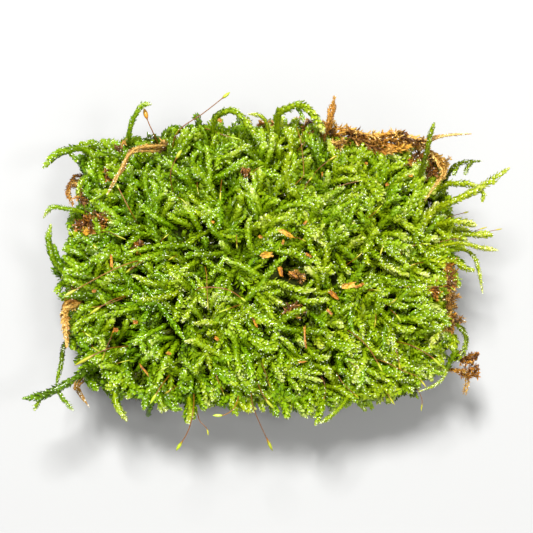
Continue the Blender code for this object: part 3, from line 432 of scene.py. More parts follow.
# Shoots that lie uppermost, seen from above: each from its foot to its tip
SHOOTS = [
    [(-39.9, 25.4), (-39.2, 23), (-38.2, 20.5)],
    [(-27.5, 16.7), (-28.4, 19.6), (-28.8, 22.4), (-28.1, 25.2)],
    [(-33.3, 15.4), (-33.4, 17.3), (-34.5, 17.8), (-35.5, 17.4)],
    [(-32.6, 17.8), (-32.2, 19.1), (-31.7, 20.6)],
    [(-23.3, 11.5), (-26.3, 12.8), (-28.6, 14.8), (-29.8, 16.1)],
    [(-27.4, 15.1), (-25.7, 16.9), (-23.7, 18.8)], [(-30.6, 29.2), (-29.7, 27.9), (-29.1, 26.5)],
    [(-39.7, 21), (-40.6, 22.7), (-41.7, 23.8)], [(-37.6, 27.8), (-40.4, 30), (-43.8, 31.1)],
    [(-35.7, 26.6), (-36.7, 29.1), (-38.8, 31.3)], [(-39.1, 25.8), (-42, 28.8), (-44.5, 30.2)],
    [(-34.8, 26.6), (-35.9, 25.3), (-37.5, 24.7)],
    [(-15, 17), (-14.2, 18.5), (-13.5, 20.8), (-13.5, 23.5), (-13.9, 26.1), (-14.2, 28.8)],
    [(-16.7, 23.6), (-17.5, 25.4), (-17.7, 26.7), (-16.5, 28.2)],
    [(-17.6, 18.7), (-18.2, 20.7), (-19.1, 22.6), (-19.8, 24.5)],
    [(-11.1, 22.3), (-8.3, 24.2), (-6.1, 25.8)], [(-9, 18.4), (-7.3, 19.7), (-5.1, 21.4)],
    [(-2, 19.3), (-1.8, 21.7), (-2.1, 23.5)], [(-11.8, 28.1), (-11.6, 26.1), (-11.6, 24.4)],
    [(-11.2, 25.6), (-8.6, 27.1), (-6.5, 28.8), (-4.5, 29.7)], [(-15.3, 32), (-16.1, 32.4), (-16.9, 32)],
    [(-20, 22), (-21.2, 23.2), (-22, 24.1)], [(-18.4, 13.7), (-18.8, 15.1), (-19.1, 15.8)],
    [(-15.1, 14.2), (-16.4, 16.1), (-17.9, 17.7)], [(-11.4, 16.1), (-13.8, 15.5), (-15.7, 14.4)],
    [(-7.4, 15.1), (-6.4, 16.1), (-6.7, 17.3)], [(-5, 18.5), (-4.3, 15.8), (-3.2, 13.7)],
    [(-24.3, 13.7), (-23.2, 15.4), (-22.3, 16.7)], [(-13.3, 29.4), (-12.7, 31.1), (-12.4, 32.9)],
    [(-10.7, 31), (-10, 30.1), (-8.7, 30.1)],
    [(4.9, 27.4), (5.5, 29.5), (4.7, 32), (3.5, 34.5), (2.2, 36.8)],
    [(4.7, 18.7), (4.4, 21.7), (3.8, 24.1), (4.6, 26.1), (5.3, 28.1)],
    [(-0.4, 26.1), (0.4, 28.1), (0.7, 29.7), (1, 31)], [(2.6, 26.7), (2.4, 28.1), (2.7, 29.3)],
    [(8.4, 23.5), (9.1, 25), (9.5, 26.2)], [(11.4, 28.5), (11.8, 27.5), (12.5, 26.4)],
    [(15.9, 27.1), (18.2, 28.1), (20.4, 28.5)], [(12.9, 19.6), (13.7, 21.7), (13.7, 23.5)],
    [(14.9, 23.3), (17, 23.8), (19.7, 23.5)], [(14, 21.1), (16.3, 21.5), (18.1, 21.5), (20.8, 21.7)],
    [(13.1, 16.7), (15.3, 18.7), (17.2, 19.7)], [(17, 16.7), (19.5, 17.8), (21.6, 17.9)],
    [(7.6, 16.7), (6.4, 17.8), (5.2, 18.8)], [(-1.5, 13.9), (0.2, 15.7), (2.2, 16.4)],
    [(11.6, 15.1), (12.7, 16.7), (14.4, 18)], [(10.1, 13.4), (11.4, 15.1), (11.3, 17)],
    [(15.9, 13.7), (17.9, 15.2), (19.2, 16.9)], [(-1.9, 27.1), (-1.3, 28.8), (-0.9, 30.1)],
    [(31.2, 26.6), (32.5, 28.5), (34.4, 30.6)], [(26.4, 23.1), (28.1, 24.2), (31.2, 25.6)],
    [(29.5, 21.6), (32, 22.9), (34.1, 23.5)], [(31.8, 19.2), (34.3, 20.9), (36.2, 22.9)],
    [(23.7, 23.7), (25.7, 25.2), (26.6, 26.1)], [(21.1, 20.7), (23.4, 21.4), (25.4, 20.2)],
    [(27.6, 17.8), (29.3, 19.2), (30.7, 19.8)], [(26.6, 15.4), (28.3, 17), (30.1, 17.4)],
    [(30.6, 12.8), (31.9, 14.7), (33, 15.9)], [(34.1, 13.6), (35.1, 15.3), (34.8, 17.2)],
    [(34.5, 17.9), (36.7, 19.1), (38.8, 19.5)], [(37.2, 13.1), (38.1, 15.1), (39.4, 16.2)],
    [(-33, 10.9), (-34.9, 12.8), (-37.2, 14.3), (-40, 17.2)],
    [(-37.6, 7.5), (-39.2, 10), (-39.7, 11.4), (-39.9, 12.9)],
    [(-27.9, 10.7), (-30.2, 10.6), (-32.1, 9.8), (-34.1, 8.8)],
    [(-29.7, 9), (-30, 7.7), (-31.2, 7.4), (-32.5, 5.8)],
    [(-25.6, 5.9), (-28.6, 5.4), (-30.8, 4.7), (-32.7, 4)], [(-34.7, 5.7), (-36.7, 5.7), (-37.9, 4.1)],
    [(-35, 4.4), (-36.7, 4.2), (-38.4, 2.8)], [(-42.3, 6.8), (-44.1, 8.6), (-46, 9.7)],
    [(-41.6, 3.6), (-44.3, 5), (-47.5, 6)], [(-39.4, -0.1), (-38.3, 2.2), (-39.5, 4.5), (-41.3, 6.5)],
    [(-46.1, -4), (-46.5, -1.6), (-47.1, 0.9)], [(-47.7, -1.8), (-48.3, -3), (-48.9, -4.2)],
    [(-48.1, -0.3), (-49.3, 0.7), (-48.5, 2.4)], [(-32.9, -2.2), (-34.6, -1.1), (-35.9, -0.6)],
    [(-26.4, -0.9), (-27.1, 0.6), (-27.9, 2)], [(-36.2, -0.1), (-35.3, 0.8), (-34.6, 1.6)],
    [(-36.1, -6.3), (-37.6, -5.7), (-38.8, -5.3)], [(-28.1, -7.7), (-29.4, -6.6), (-30.7, -5.7)],
    [(-36.6, -4), (-37.8, -3), (-36.6, -1.8)], [(-35.2, -4.9), (-33.4, -5.1), (-31.7, -4.4)],
    [(-17.9, 11.3), (-20.3, 11.9), (-22.1, 12.8), (-23.1, 14)],
    [(-16, 10.1), (-16.8, 11.8), (-17.5, 12.8), (-18.5, 14.6)],
    [(-15.1, 8.9), (-16.5, 7.9), (-18, 6.8), (-18.9, 6)],
    [(-6.5, -0.3), (-9.8, 0), (-12.2, 1), (-14.2, 2.3), (-15.7, 4)],
    [(-1.9, -0.9), (-4, 0.4), (-6.3, 1.5), (-8.6, 2.4), (-10.7, 3.6)],
    [(-10.3, -0.6), (-11.1, -2.2), (-11.7, -3.5)], [(-19.5, 6.2), (-22.9, 6), (-26.1, 5.6)],
    [(-16.2, 4.7), (-17.3, 4), (-18.5, 3.5)], [(-16.5, 2.3), (-18.3, 1), (-19.9, 0)],
    [(-23.1, 2.1), (-22.4, 0.1), (-21.6, -1.4)], [(-17.9, -4), (-19.4, -2.8), (-20.9, -1.4)],
    [(-16.9, -4.4), (-15.8, -6.2), (-14.4, -7.7)],
    [(-3.1, 3.9), (-4.2, 5.9), (-4.7, 8.5), (-4.7, 10.9), (-4, 12.7)],
    [(-4.8, 9.9), (-3.3, 10.4), (-1.9, 11)], [(-10.4, 7.4), (-12.2, 8.9), (-13.4, 10.4), (-13.8, 11.7)],
    [(-14.5, 5.3), (-14.4, 6.6), (-14.7, 7.7)], [(-8.1, 11.5), (-7.2, 13.5), (-6.6, 15.2)],
    [(-6.2, -6.8), (-8.3, -6.4), (-10.1, -6.2)], [(-13.2, -8.1), (-12.7, -6.4), (-11.8, -5.2)],
    [(-8.6, 4.4), (-9.8, 5.4), (-11, 6.8)], [(-23.7, -4), (-24.3, -3.1), (-23.8, -1.9)],
    [(-5.3, -6.2), (-1.5, -2.8), (0, 0), (1.9, 2), (4.5, 4)],
    [(-1, -2.6), (1.9, -2.3), (3.9, -3.1), (5.7, -4), (7.8, -4.4), (10.4, -4)],
    [(4.5, -4.6), (6.6, -5.8), (8.7, -6.8), (11, -6.6), (13.5, -6.2)],
    [(12.9, 0.4), (13, 2.3), (13.6, 4.4), (13.4, 6.9)], [(8.7, 1.5), (11, 0.4), (13.4, 0.7), (14.9, 0)],
    [(11.3, -2.9), (11.2, -1.2), (10.1, 0), (8.6, 1)], [(14.6, 6.9), (16.5, 7.7), (18.1, 8.8)],
    [(18, 5.6), (19.8, 7.1), (21.8, 7.7)], [(16.2, 3.5), (17.1, 1.5), (18.6, 0)],
    [(4.8, 10.1), (3.1, 9.9), (1.7, 8.9)], [(1.3, 10.2), (0.5, 11.8), (-0.7, 13.1)],
    [(2.6, 5.4), (1.1, 5.9), (0.4, 6.8)], [(-0.3, -4.7), (1.3, -6.4), (3.2, -7.4)],
    [(14.3, 8.5), (16.2, 9.8), (17.7, 10.5)], [(10.7, 10.6), (11.6, 9.2), (10.4, 7.9)],
    [(14.2, -5.9), (15.1, -7.4), (15.8, -9)], [(18.3, 10.7), (17.1, 12.4), (15.7, 14.1)],
    [(13.3, 11.8), (14.9, 13.1), (16.3, 14.8)], [(7.5, 5.9), (6.3, 5), (4.8, 4.7)],
    [(16.9, -0.3), (16.5, -1.5), (16.8, -3.1)], [(6.1, 13.9), (7.3, 12.7), (6.7, 11)],
    [(-1.3, 8.9), (-1, 10.9), (-1.6, 12.4)], [(26, 6.8), (28.6, 6.5), (30.7, 6.4), (32, 4)],
    [(28.1, 8.9), (29.8, 8.6), (32.3, 7.4)], [(35.1, 7.4), (37.3, 8.3), (39.3, 8)],
    [(35.4, 4.1), (39.3, 5), (42.2, 5.7), (45, 6.3)], [(32.7, 1.3), (34.7, 0.1), (36.7, -0.7)],
    [(25.4, 2), (27.7, 0.9), (30, 0), (31.9, -0.7)], [(31.1, -1.1), (30.7, 0.4), (31.7, 1.4)],
    [(34.8, 2.6), (36.9, 2.9), (39.3, 2.7), (40.9, 0.9)], [(42.4, 0.2), (43.3, -1.5), (44, -2.6)],
    [(29.7, -4.3), (27.9, -4), (26.2, -5.2)], [(31.5, -5.7), (33.4, -4.7), (34.8, -4.2)],
    [(35.8, -3.1), (37.2, -1.8), (39, -0.9)], [(22.1, 6.3), (23.6, 8), (24.7, 9.7)],
    [(22.1, 4.7), (23.8, 4.2), (25.4, 3.1)], [(33.8, 11.3), (34.1, 12.9), (35, 14.3)],
    [(36, 11.7), (37.1, 13.1), (38, 14.6)], [(38.3, 12.1), (39.8, 13.2), (41.1, 13.6)],
    [(36.8, -8), (35.6, -6.8), (34, -6.1)], [(22.9, -8.1), (22.6, -6.7), (23.5, -5.4)],
    [(31.7, 11), (30.8, 12), (29, 12.6)], [(28.1, 12.5), (28.8, 13.6), (29.9, 14.6)],
    [(-36.5, -8.1), (-39.2, -9.5), (-41.6, -10.6), (-44, -11.5), (-45.4, -12.8)],
    [(-40.2, -7.2), (-41.7, -8.3), (-43.4, -8.5)],
    [(-40.7, -15.6), (-39.5, -13.7), (-38.9, -11.6), (-37.4, -9.8)],
    [(-38.6, -13.9), (-36.9, -12.5), (-35.5, -10.8)], [(-38.4, -14.2), (-38.1, -15.9), (-37.7, -17.5)],
    [(-29.5, -7.9), (-32.2, -8.5), (-34.6, -9.4), (-36.8, -9.8)],
    [(-27.8, -8.8), (-28, -10), (-28.5, -10.9)],
    [(-25.4, -12.9), (-27.7, -14.3), (-29.2, -15.2), (-30.6, -16.3)],
    [(-32.7, -22.6), (-35.3, -21.5), (-38.4, -21.3)], [(-35, -22.6), (-35.1, -23.7), (-35.8, -24.8)],
    [(-31.9, -24.3), (-34.6, -25.1), (-37, -26.3)], [(-31.2, -25.1), (-30.8, -26.6), (-32.2, -28.4)],
    [(-42, -23.9), (-40.6, -25.4), (-39.2, -26.6)], [(-40, -20), (-41.4, -21.6), (-43.5, -22.5)],
    [(-40.9, -17.9), (-42.2, -16.7), (-43.5, -15.6)], [(-29.3, -21.1), (-27.9, -19.5), (-26.6, -18.3)],
    [(-27.1, -30.2), (-26.4, -28.3), (-26, -26)], [(-34.6, -30.2), (-35.3, -28.3), (-34.7, -26.7)],
    [(-33.6, -14), (-32.7, -12.9), (-32.5, -11.1)], [(-45.6, -15.2), (-45, -16), (-45.1, -16.9)],
    [(-36, -19.7), (-34.7, -18.3), (-33.1, -17.7)],
    [(-29.9, -1.4), (-27.3, -4.6), (-24.6, -7.9), (-22, -11.5), (-20.1, -14.1), (-18.8, -16)],
    [(-9.7, -19.6), (-12.1, -18.4), (-14.4, -17.2), (-16.7, -16), (-18.7, -16)],
    [(-10.3, -11.4), (-12.1, -11.8), (-14.4, -11.7), (-16.6, -11.8)],
    [(-15.3, -10.8), (-16.6, -9.1), (-17.8, -7.7)],
    [(-7.5, -16.3), (-7.4, -18.7), (-6.9, -20.9), (-6.3, -24.3)],
    [(-6, -17.2), (-4.5, -19.5), (-4.2, -21.7), (-4, -23.9), (-3.9, -26)],
    [(-4.5, -26.4), (-5.6, -26.4), (-7.1, -25.9), (-8.8, -25.2)],
    [(-12.1, -21.7), (-11.2, -23.2), (-10, -24.4), (-8.9, -25.3)],
    [(-14.9, -25), (-16.7, -22.9), (-18.5, -21.1), (-20.3, -19)],
    [(-16.1, -23.9), (-14.9, -25.5), (-14.1, -27.7), (-14.1, -30.2)],
    [(-16.9, -21.2), (-15.8, -20.2), (-14.6, -19.4)],
    [(-17.8, -23.6), (-18.5, -24.7), (-19.3, -24.3), (-19.1, -22.9)],
    [(-19.9, -23.3), (-21.9, -21.7), (-23.3, -19.7)], [(-24, -15), (-25.4, -15.2), (-26.8, -15.7)],
    [(-7.1, -17.2), (-8, -15), (-9.8, -13.7)], [(-10.6, -15), (-12.1, -14), (-13.7, -14.1)],
    [(-23.9, -17.2), (-24.7, -18.1), (-25.1, -19.5)], [(-20.7, -27.5), (-19.8, -26.6), (-19, -27.1)],
    [(-21.9, -8.3), (-20.8, -9.6), (-21.3, -11.1)], [(-7.9, -11.1), (-9.4, -11.2), (-10.6, -11.7)],
    [(-4.8, -16.6), (-5.7, -15.7), (-5.4, -13.8)],
    [(1.3, -12.9), (3.1, -10.9), (4.6, -9.9), (6.3, -9.3), (8, -8.3)],
    [(6.8, -13.4), (4.8, -13.2), (3.3, -12.6), (1.4, -13.2)], [(-0.1, -17.2), (1.1, -15.7), (2.2, -14)],
    [(6.8, -19.3), (5.4, -17.5), (4.2, -16.3), (2.9, -15.1)],
    [(4, -21.7), (6.6, -22.1), (8.7, -22.6), (11.8, -23.2)], [(10, -20.8), (11.8, -21.7), (14.1, -22.6)],
    [(6.3, -24.6), (7.5, -25.3), (9.7, -25.9), (11.3, -26.7)],
    [(4.6, -23), (4.9, -24.4), (6.5, -26.1), (7.5, -27.8)], [(0.7, -20.4), (1.6, -22.4), (3.3, -24.7)],
    [(2.5, -18.1), (2.8, -19.8), (2.6, -21.7)], [(4.5, -18.7), (5.4, -19.9), (6.5, -20.6)],
    [(8.7, -17.2), (10.1, -19), (11.8, -19.8), (13.5, -19.5)], [(6.6, -13.8), (6.8, -15), (8, -16.6)],
    [(11.5, -14.7), (11.3, -16), (11.9, -17.2)], [(12.6, -12.8), (13.3, -14), (14, -14.6)],
    [(14.2, -11.8), (15.5, -11.8), (16.4, -12.1)], [(15.1, -10.5), (16.4, -9.1), (19.3, -7.3)],
    [(18.4, -9.6), (19.9, -10.8), (21.6, -12.7)],
    [(16.1, -13.4), (17.9, -15.4), (19.4, -16.4), (20.7, -17.3)],
    [(18.3, -18.3), (16.9, -18.7), (16.1, -19.5)], [(15.9, -20.1), (16.1, -21.7), (16.4, -23)],
    [(14.4, -26), (16.4, -26.6), (18.2, -28), (20.1, -29.2)], [(15, -25.6), (14.2, -23.9), (13.2, -23)],
    [(10.1, -9.6), (11.5, -11.1), (12.7, -12.2)], [(13.3, -15.4), (14.7, -16.3), (16.1, -16.9)],
    [(3.9, -19.8), (4.3, -20.6), (4.2, -21.5)],
    [(25.5, -8.5), (27, -10.5), (28.5, -12.3), (29.9, -13), (32.1, -13.4)],
    [(24.1, -14.1), (26.3, -15.2), (27.9, -16.2)], [(22.7, -16.7), (24.2, -18.1), (26.4, -19.2)],
    [(31.6, -10.5), (33.8, -11.1), (36.3, -12.1)],
    [(41.5, -9.1), (40.6, -11.2), (39, -12.9), (38.2, -14.8), (37.3, -16.8)],
    [(42.8, -17.4), (42.1, -15.4), (40.1, -14.1)], [(42.1, -19.9), (42.8, -18.2), (42.1, -16.6)],
    [(39.8, -17.9), (38.7, -17.1), (37.3, -17.3)], [(31.9, -21.1), (33.4, -20.1), (34.9, -19.7)],
    [(35.7, -20.6), (37, -22.8), (37.5, -24.4)], [(34.1, -22.2), (34.7, -23.8), (33.9, -25.8)],
    [(25.9, -13.7), (27.5, -14.4), (28.4, -15.7)], [(30.5, -14.9), (31.4, -13.7), (33, -13)],
    [(42.1, -13.8), (42.9, -15.6), (42.4, -16.9)], [(28.5, -20.1), (30.2, -21.1), (31.9, -21.7)],
    [(30.6, -24.6), (31.8, -26), (32.9, -26.8)], [(24.4, -21.7), (25.5, -23.2), (27, -24.5)],
    [(36.7, -7.2), (37.6, -8), (38.7, -8.6)], [(-27.2, -26.9), (-27.9, -28.5), (-28.4, -30.8)],
    [(-25.4, -27.2), (-24.7, -29), (-24.5, -31.5)], [(-23.5, -27.6), (-23.3, -29.5), (-23.7, -31.3)],
    [(-16, -28.1), (-15.3, -29.7), (-14.7, -31.1)], [(-12.1, -27.9), (-11.4, -29), (-10.8, -30.1)],
    [(-8.4, -28.5), (-6.3, -30.1), (-4.2, -31.5)], [(-4.9, -28.3), (-4.2, -29.9), (-3.8, -31.5)],
    [(-1.5, -28.1), (-1.5, -29.7), (-1.3, -31.3)], [(-0.1, -28.5), (1, -30.4), (1.9, -32.4)],
    [(2.9, -28.3), (3.8, -30.6), (4.4, -32.9)], [(5.6, -28.5), (7, -30.6), (8.6, -32.7)],
    [(7.5, -28.5), (8.6, -30.4), (9.7, -32.2)], [(-12.7, 33), (-13, 34.6), (-13.5, 36.3)],
    [(-10.9, 33), (-11.1, 34.6), (-11.6, 36.5)], [(4.1, 33), (3.9, 34.9), (3.4, 37)],
    [(5.7, 33.4), (5.7, 35.1), (6.2, 36.5)], [(2.5, 33.2), (2, 34.6), (2.2, 36.3)],
    [(-5.9, 35.8), (-4.5, 33.7), (-2.7, 30.6)], [(42.7, 1.1), (43.3, -1), (43.9, -2.7)],
    [(41.5, 11.3), (43.9, 10.6), (46.4, 10.4)], [(42, 9), (44.1, 8.5), (45.9, 8)],
    [(41.9, 5.7), (43.8, 6.2), (45.2, 6.4)], [(42.2, 4.6), (43.8, 3.2), (45.4, 1.8)],
    [(-48.4, 2.9), (-49.4, 4.8), (-50.1, 6.7)], [(1.8, 35.5), (3.3, 33.8), (4.9, 31.6)],
    [(-18.3, -29.4), (-18.6, -31.5), (-18.8, -33.6)], [(-17.4, -29.4), (-17.3, -31.5), (-17.2, -33.1)],
]
# Finer stalks and threads among them
STRANDS = [
    [(-17.9, 35), (-14.3, 33.9), (-10.4, 32.3), (-6.5, 31.2)], [(-6.2, 38.3), (-4.5, 36.2), (-3.8, 35.4)],
    [(-10.8, 22.1), (-11, 19.1), (-11.1, 16.2)], [(-16.5, 21.5), (-16.4, 19.5), (-16, 17.7)],
    [(-21.4, 17.7), (-20, 16.8), (-18.7, 15.6)], [(-4.6, 22.1), (-2.9, 23.7), (-1.1, 24.6)],
    [(5.8, 20.2), (7.9, 22.2), (8.1, 23.9), (7.8, 27.9), (7.3, 31.2), (6.2, 35.9)],
    [(6.7, 28.7), (7.9, 29.6), (8.9, 30.9), (10.2, 32.2)],
    [(10.2, 22.1), (11.1, 23.5), (13.5, 25.5), (15.8, 27)], [(7.9, 18.2), (8.7, 20.2), (10.1, 22.1)],
    [(13.4, 18.3), (16.3, 19.8), (22.1, 21.3)], [(-27.3, 3.9), (-30.8, 1.3), (-32.6, -0.1)],
    [(-31.6, -5), (-34.5, -6.5), (-37.6, -7.6), (-40.7, -8.1)],
    [(-41, 9.2), (-37, 9.2), (-34.7, 8.2), (-32.6, 7.3)], [(-41.2, 7.3), (-40.2, 6.3), (-39.1, 5)],
    [(-14.6, 1.4), (-14.1, -0.9), (-14, -3.9), (-13.7, -8.9)], [(-5.6, -7), (-8.3, -8.3), (-11.4, -9.5)],
    [(-25.3, 6.7), (-24.1, 7.6), (-22.9, 8.7)], [(-7.4, 9.4), (-7.3, 7.3), (-7.2, 5.2)],
    [(-20.8, 4), (-21.7, 3.2), (-22.8, 2.5)], [(5.4, 8.2), (6.9, 7.6), (8.6, 6.9)],
    [(17.9, 1.9), (19.7, 2.9), (21.4, 4.3)], [(2.5, 6.7), (2.5, 5.2), (2.6, 4.6)],
    [(25.7, 7.9), (26.1, 6.1), (25.4, 3.5)], [(36.8, 2.7), (34.4, 2.1), (32.3, 1.4)],
    [(39.2, 7.4), (43, 8.1), (46.2, 8.3)], [(29.7, 3.9), (33.5, 6.2), (37.2, 6.7)],
    [(22, -4.1), (23.8, -4.2), (25.8, -4.4)], [(26.6, -7.9), (28.1, -7.1), (29.3, -6.2)],
    [(29.9, -3.3), (35.8, -3.4), (39.1, -3.4), (41.1, -3.1), (42.9, -4.1)],
    [(22.4, 12.1), (24.3, 13.5), (26.1, 15.4)], [(-40.8, -16.2), (-40, -17.2), (-38.5, -18.2)],
    [(-35.4, -12.2), (-35.9, -15), (-36.7, -17), (-37.9, -20.3)],
    [(-43.1, -12.9), (-41.9, -13.9), (-40.6, -14.8)], [(-35.6, -21.2), (-33.7, -20.7), (-31.4, -20.1)],
    [(-20.3, -25.3), (-21.9, -26.7), (-23.6, -27.7)], [(-25.8, -22.5), (-24.2, -22.2), (-22.7, -21.6)],
    [(-11.5, -24.9), (-12.3, -26.5), (-13.3, -27.9)],
    [(-12.8, -21.2), (-11.5, -24.7), (-10.6, -26.7), (-10, -28.3)],
    [(-9.2, -19.8), (-9.1, -20.8), (-8.9, -21.9)],
    [(-1.6, -20.7), (-0.6, -23.3), (-0.1, -25), (0.6, -26.5)],
    [(11.8, -23.4), (12.7, -25.5), (12.9, -27.7), (12.3, -30.1)],
    [(17, -19.6), (19.3, -21.2), (21.8, -23.2)], [(15.5, -23), (17, -25.5), (19.4, -27.7), (20.5, -28.6)],
    [(28.4, -15.7), (29.2, -18.4), (30, -22.3)],
    [(23.9, -19.5), (27.2, -20.8), (31, -22.7), (33.9, -23.8), (36.1, -26.2)],
    [(25.6, -25.6), (27.1, -27.7), (28.8, -30.2)], [(24.6, -8.8), (24.4, -10.8), (24.1, -12.8)],
    [(27.8, -8.5), (29, -10), (30.1, -11.5)],
    [(-16.4, -31.4), (-15.7, -33.7), (-14.1, -35.5), (-13.7, -37.1)],
    [(34, -26), (35, -28.9), (34.8, -31.6)], [(43.3, 8.4), (48.4, 9.3), (54.2, 10.5)],
    [(43.3, 8.9), (47, 9.3), (48.6, 10.2), (50.7, 10.9)], [(40.6, 12.7), (42.5, 13.4), (46.5, 14.5)],
    [(-25.4, 4.6), (-27.5, 3.1), (-32.7, -0.3)],
]

# Camera and light, in metres and degrees
AIM = (-0.00046, 0.00103, 0.026)
CAMERA_DISTANCE = 0.330
CAMERA_ELEVATION = 82.5
LENS = 97.9
SENSOR = 36
NEAREST_SEEN = 0.01
# Each lamp's place, width and power
LAMPS = {
    "key": ((-0.1, 0.38, 0.8), 0.26, 13.8),
    "side": ((0.34, -0.1, 0.8), 0.2, 2.6),
    "fill": ((0.2, -0.8, 0.8), 0.9, 3.0),
}
LAMPS_AIM = (0, 0, 0.02)
SKY_STRENGTH = 0.25
FLOOR_SIZE = 3
FLOOR_GREY = (0.42, 0.42, 0.415, 1)

# A spoon-shaped leaf of eight triangles: lengthwise, sideways and outwards, then its age step. The darker
# foot is partly painted shade where leaves overlap, and the paler tip and midline are partly the leaf's own
# pale tip and partly a painted highlight.
LEAF = np.array([
    (0.00, 0.00, 0.00, -0.19),
    (0.34, -0.50, -0.08, -0.06),
    (0.36, 0.00, 0.12, -0.02),
    (0.34, 0.50, -0.08, -0.06),
    (0.74, -0.44, -0.12, 0.00),
    (0.72, 0.00, 0.08, 0.04),
    (0.74, 0.44, -0.12, 0.00),
    (1.03, 0.00, -0.08, 0.14),
])
LEAF_TRIANGLES = np.array([
    (0, 2, 1), (0, 3, 2), (1, 2, 5), (1, 5, 4), (2, 3, 6), (2, 6, 5), (4, 5, 7), (5, 6, 7),
])
LEAF_BEAD = ((5, 0.55), (7, 0.45))  # vertices that its bead of damp lies between, with their weights
# A plain leaf of four triangles, for the layers that lie in shade and for shreds. Its age step is painted
# the same
# way: a partly painted shade at the foot and a partly painted highlight at the tip and middle.
PLAIN_LEAF = np.array([
    (0.00, 0.00, 0.00, -0.14),
    (0.45, -0.50, -0.10, -0.02),
    (0.50, 0.00, 0.12, 0.02),
    (0.45, 0.50, -0.10, -0.02),
    (1.05, 0.00, 0.02, 0.16),
])
PLAIN_TRIANGLES = np.array([(0, 2, 1), (0, 3, 2), (1, 2, 4), (2, 3, 4)])
PLAIN_BEAD = ((2, 1.0),)
# A bead of damp on a leaf, coloured near white as a painted highlight: a low pyramid, lengthwise, sideways
# and outwards
BEAD = np.array([(-1, 0, 0), (0, -1, 0), (1, 0, 0), (0, 1, 0), (0, 0, 1.0)])
BEAD_TRIANGLES = np.array([(0, 1, 4), (1, 2, 4), (2, 3, 4), (3, 0, 4)])
BEAD_RADIUS = (0.11, 0.19)
PAINTED_GLINT_AGE = 0.985  # the beads' painted near-white highlight in the palette, past every leaf
GLINT_FACING_UP = 0.45  # how far upwards a leaf faces that holds a bead: only leaves that face up towards the lamps get this painted highlight

# How a shoot changes from its foot at 0 to its tip at 1
OPENING = ((0, 0.8, 0.95, 1), (1, 0.95, 0.6, 0.3))
LEAF_SIZES = ((0, 0.1, 0.8, 0.95, 1), (0.75, 1, 1, 0.85, 0.6))
LEAF_FEET = ((0, 0.8, 1), (0.8, 1, 0.1))
STEM_SIZES = ((0, 0.8, 1), (1, 1, 0.3))
GROWTH = 0.26  # how much younger the tip's leaves are than the foot's
GROWTH_MIDDLE = 0.6
PAINTED_SIDE_LIGHT = 0.001  # painted side light: leaves lighter to the right and darker to the left, for each millimetre
OLDER_STEM = 0.1
STEM_FACE = (0.31, 0.24, 0.92)  # a stem's first side is set out from this way, which is arbitrary
LEAF_AGES = (0.01, 0.93)
PALETTE_ENDS = (0.01, 0.99)
PATCH_SIZE = 4.2  # patches of lighter and darker leaves
PATCH_DEPTH = 0.19
LEAST_LEAVES = 8
# How far leaves stray, apart from the disorder of their habit
SIZE_RANGE = (0.82, 1.16)
WIDTH_RANGE = (0.85, 1.15)
FIRST_TURN = 6.3  # a whole turn
TURN_STRAY = 0.25
ANGLE_STRAY = 0.09
ROLL_STRAY = 0.14
CURL = 0.02
CURL_STRAY = 0.10
AGE_STRAY = 0.025
TONE_STRAY = 0.07

# Habits. A shoot's leaves have a length, a width as a share of it, a number for each millimetre, their
# angles to the stem at its foot and tip, the share of these that leaves above and below the stem keep,
# how far from its middle they start and how much they stray. Its stem has a radius, sides and a taper.
# A shape is points, triangles and where its bead of damp lies, and damp is the share of leaves with one;
# each bead is coloured near white as a painted highlight.
LIVING = {
    "leaf": 0.98, "width": 0.8, "per_mm": 7.8, "spread": (31, 13), "flatness": 0.75,
    "foot": 0.6, "disorder": 0.06, "shape": (LEAF, LEAF_TRIANGLES, LEAF_BEAD),
    "body": 0.6, "sides": 5, "taper": 0.0, "damp": 0.44,
}
SHADED = {
    **LIVING, "leaf": 1.25, "per_mm": 5.6, "shape": (PLAIN_LEAF, PLAIN_TRIANGLES, PLAIN_BEAD),
    "sides": 4, "damp": 0.0,
}
FADED = {
    **LIVING, "leaf": 1.0, "width": 0.6, "per_mm": 8.0, "disorder": 0.12, "foot": 0.4,
    "body": 0.45, "damp": 0.12,
}
WITHERED = {
    "leaf": 1.3, "width": 0.46, "per_mm": 6, "spread": (40, 24), "flatness": 0.9,
    "foot": 0.24, "disorder": 0.3, "shape": (LEAF, LEAF_TRIANGLES, LEAF_BEAD),
    "body": 0.3, "sides": 3, "taper": 0.0, "damp": 0.08,
}
SHREDDED = {**WITHERED, "shape": (PLAIN_LEAF, PLAIN_TRIANGLES, PLAIN_BEAD)}
STRAW = {**WITHERED, "leaf": 1.9, "width": 0.26, "per_mm": 5.0, "spread": (26, 14), "disorder": 0.24}
DEAD_HABITS = {"faded": FADED, "withered": WITHERED}

# Layers of sprays: height over the surface, ages, how many of the places have a spray, habit,
# and how much of each gap stays open. The lower layers' lower ages are partly older growth and partly
# painted shade under the layers above.
LAYERS = {
    "moss_top": {"lift": (-0.3, 1.0), "age": (0.56, 0.80), "share": 0.82, "habit": LIVING, "open": 1.35},
    "moss_middle": {"lift": (-1.8, -0.3), "age": (0.46, 0.68), "share": 1.0, "habit": SHADED, "open": 1.0},
    "moss_deep": {"lift": (-3.4, -2.0), "age": (0.20, 0.44), "share": 0.74, "habit": SHADED, "open": 0.0},
}

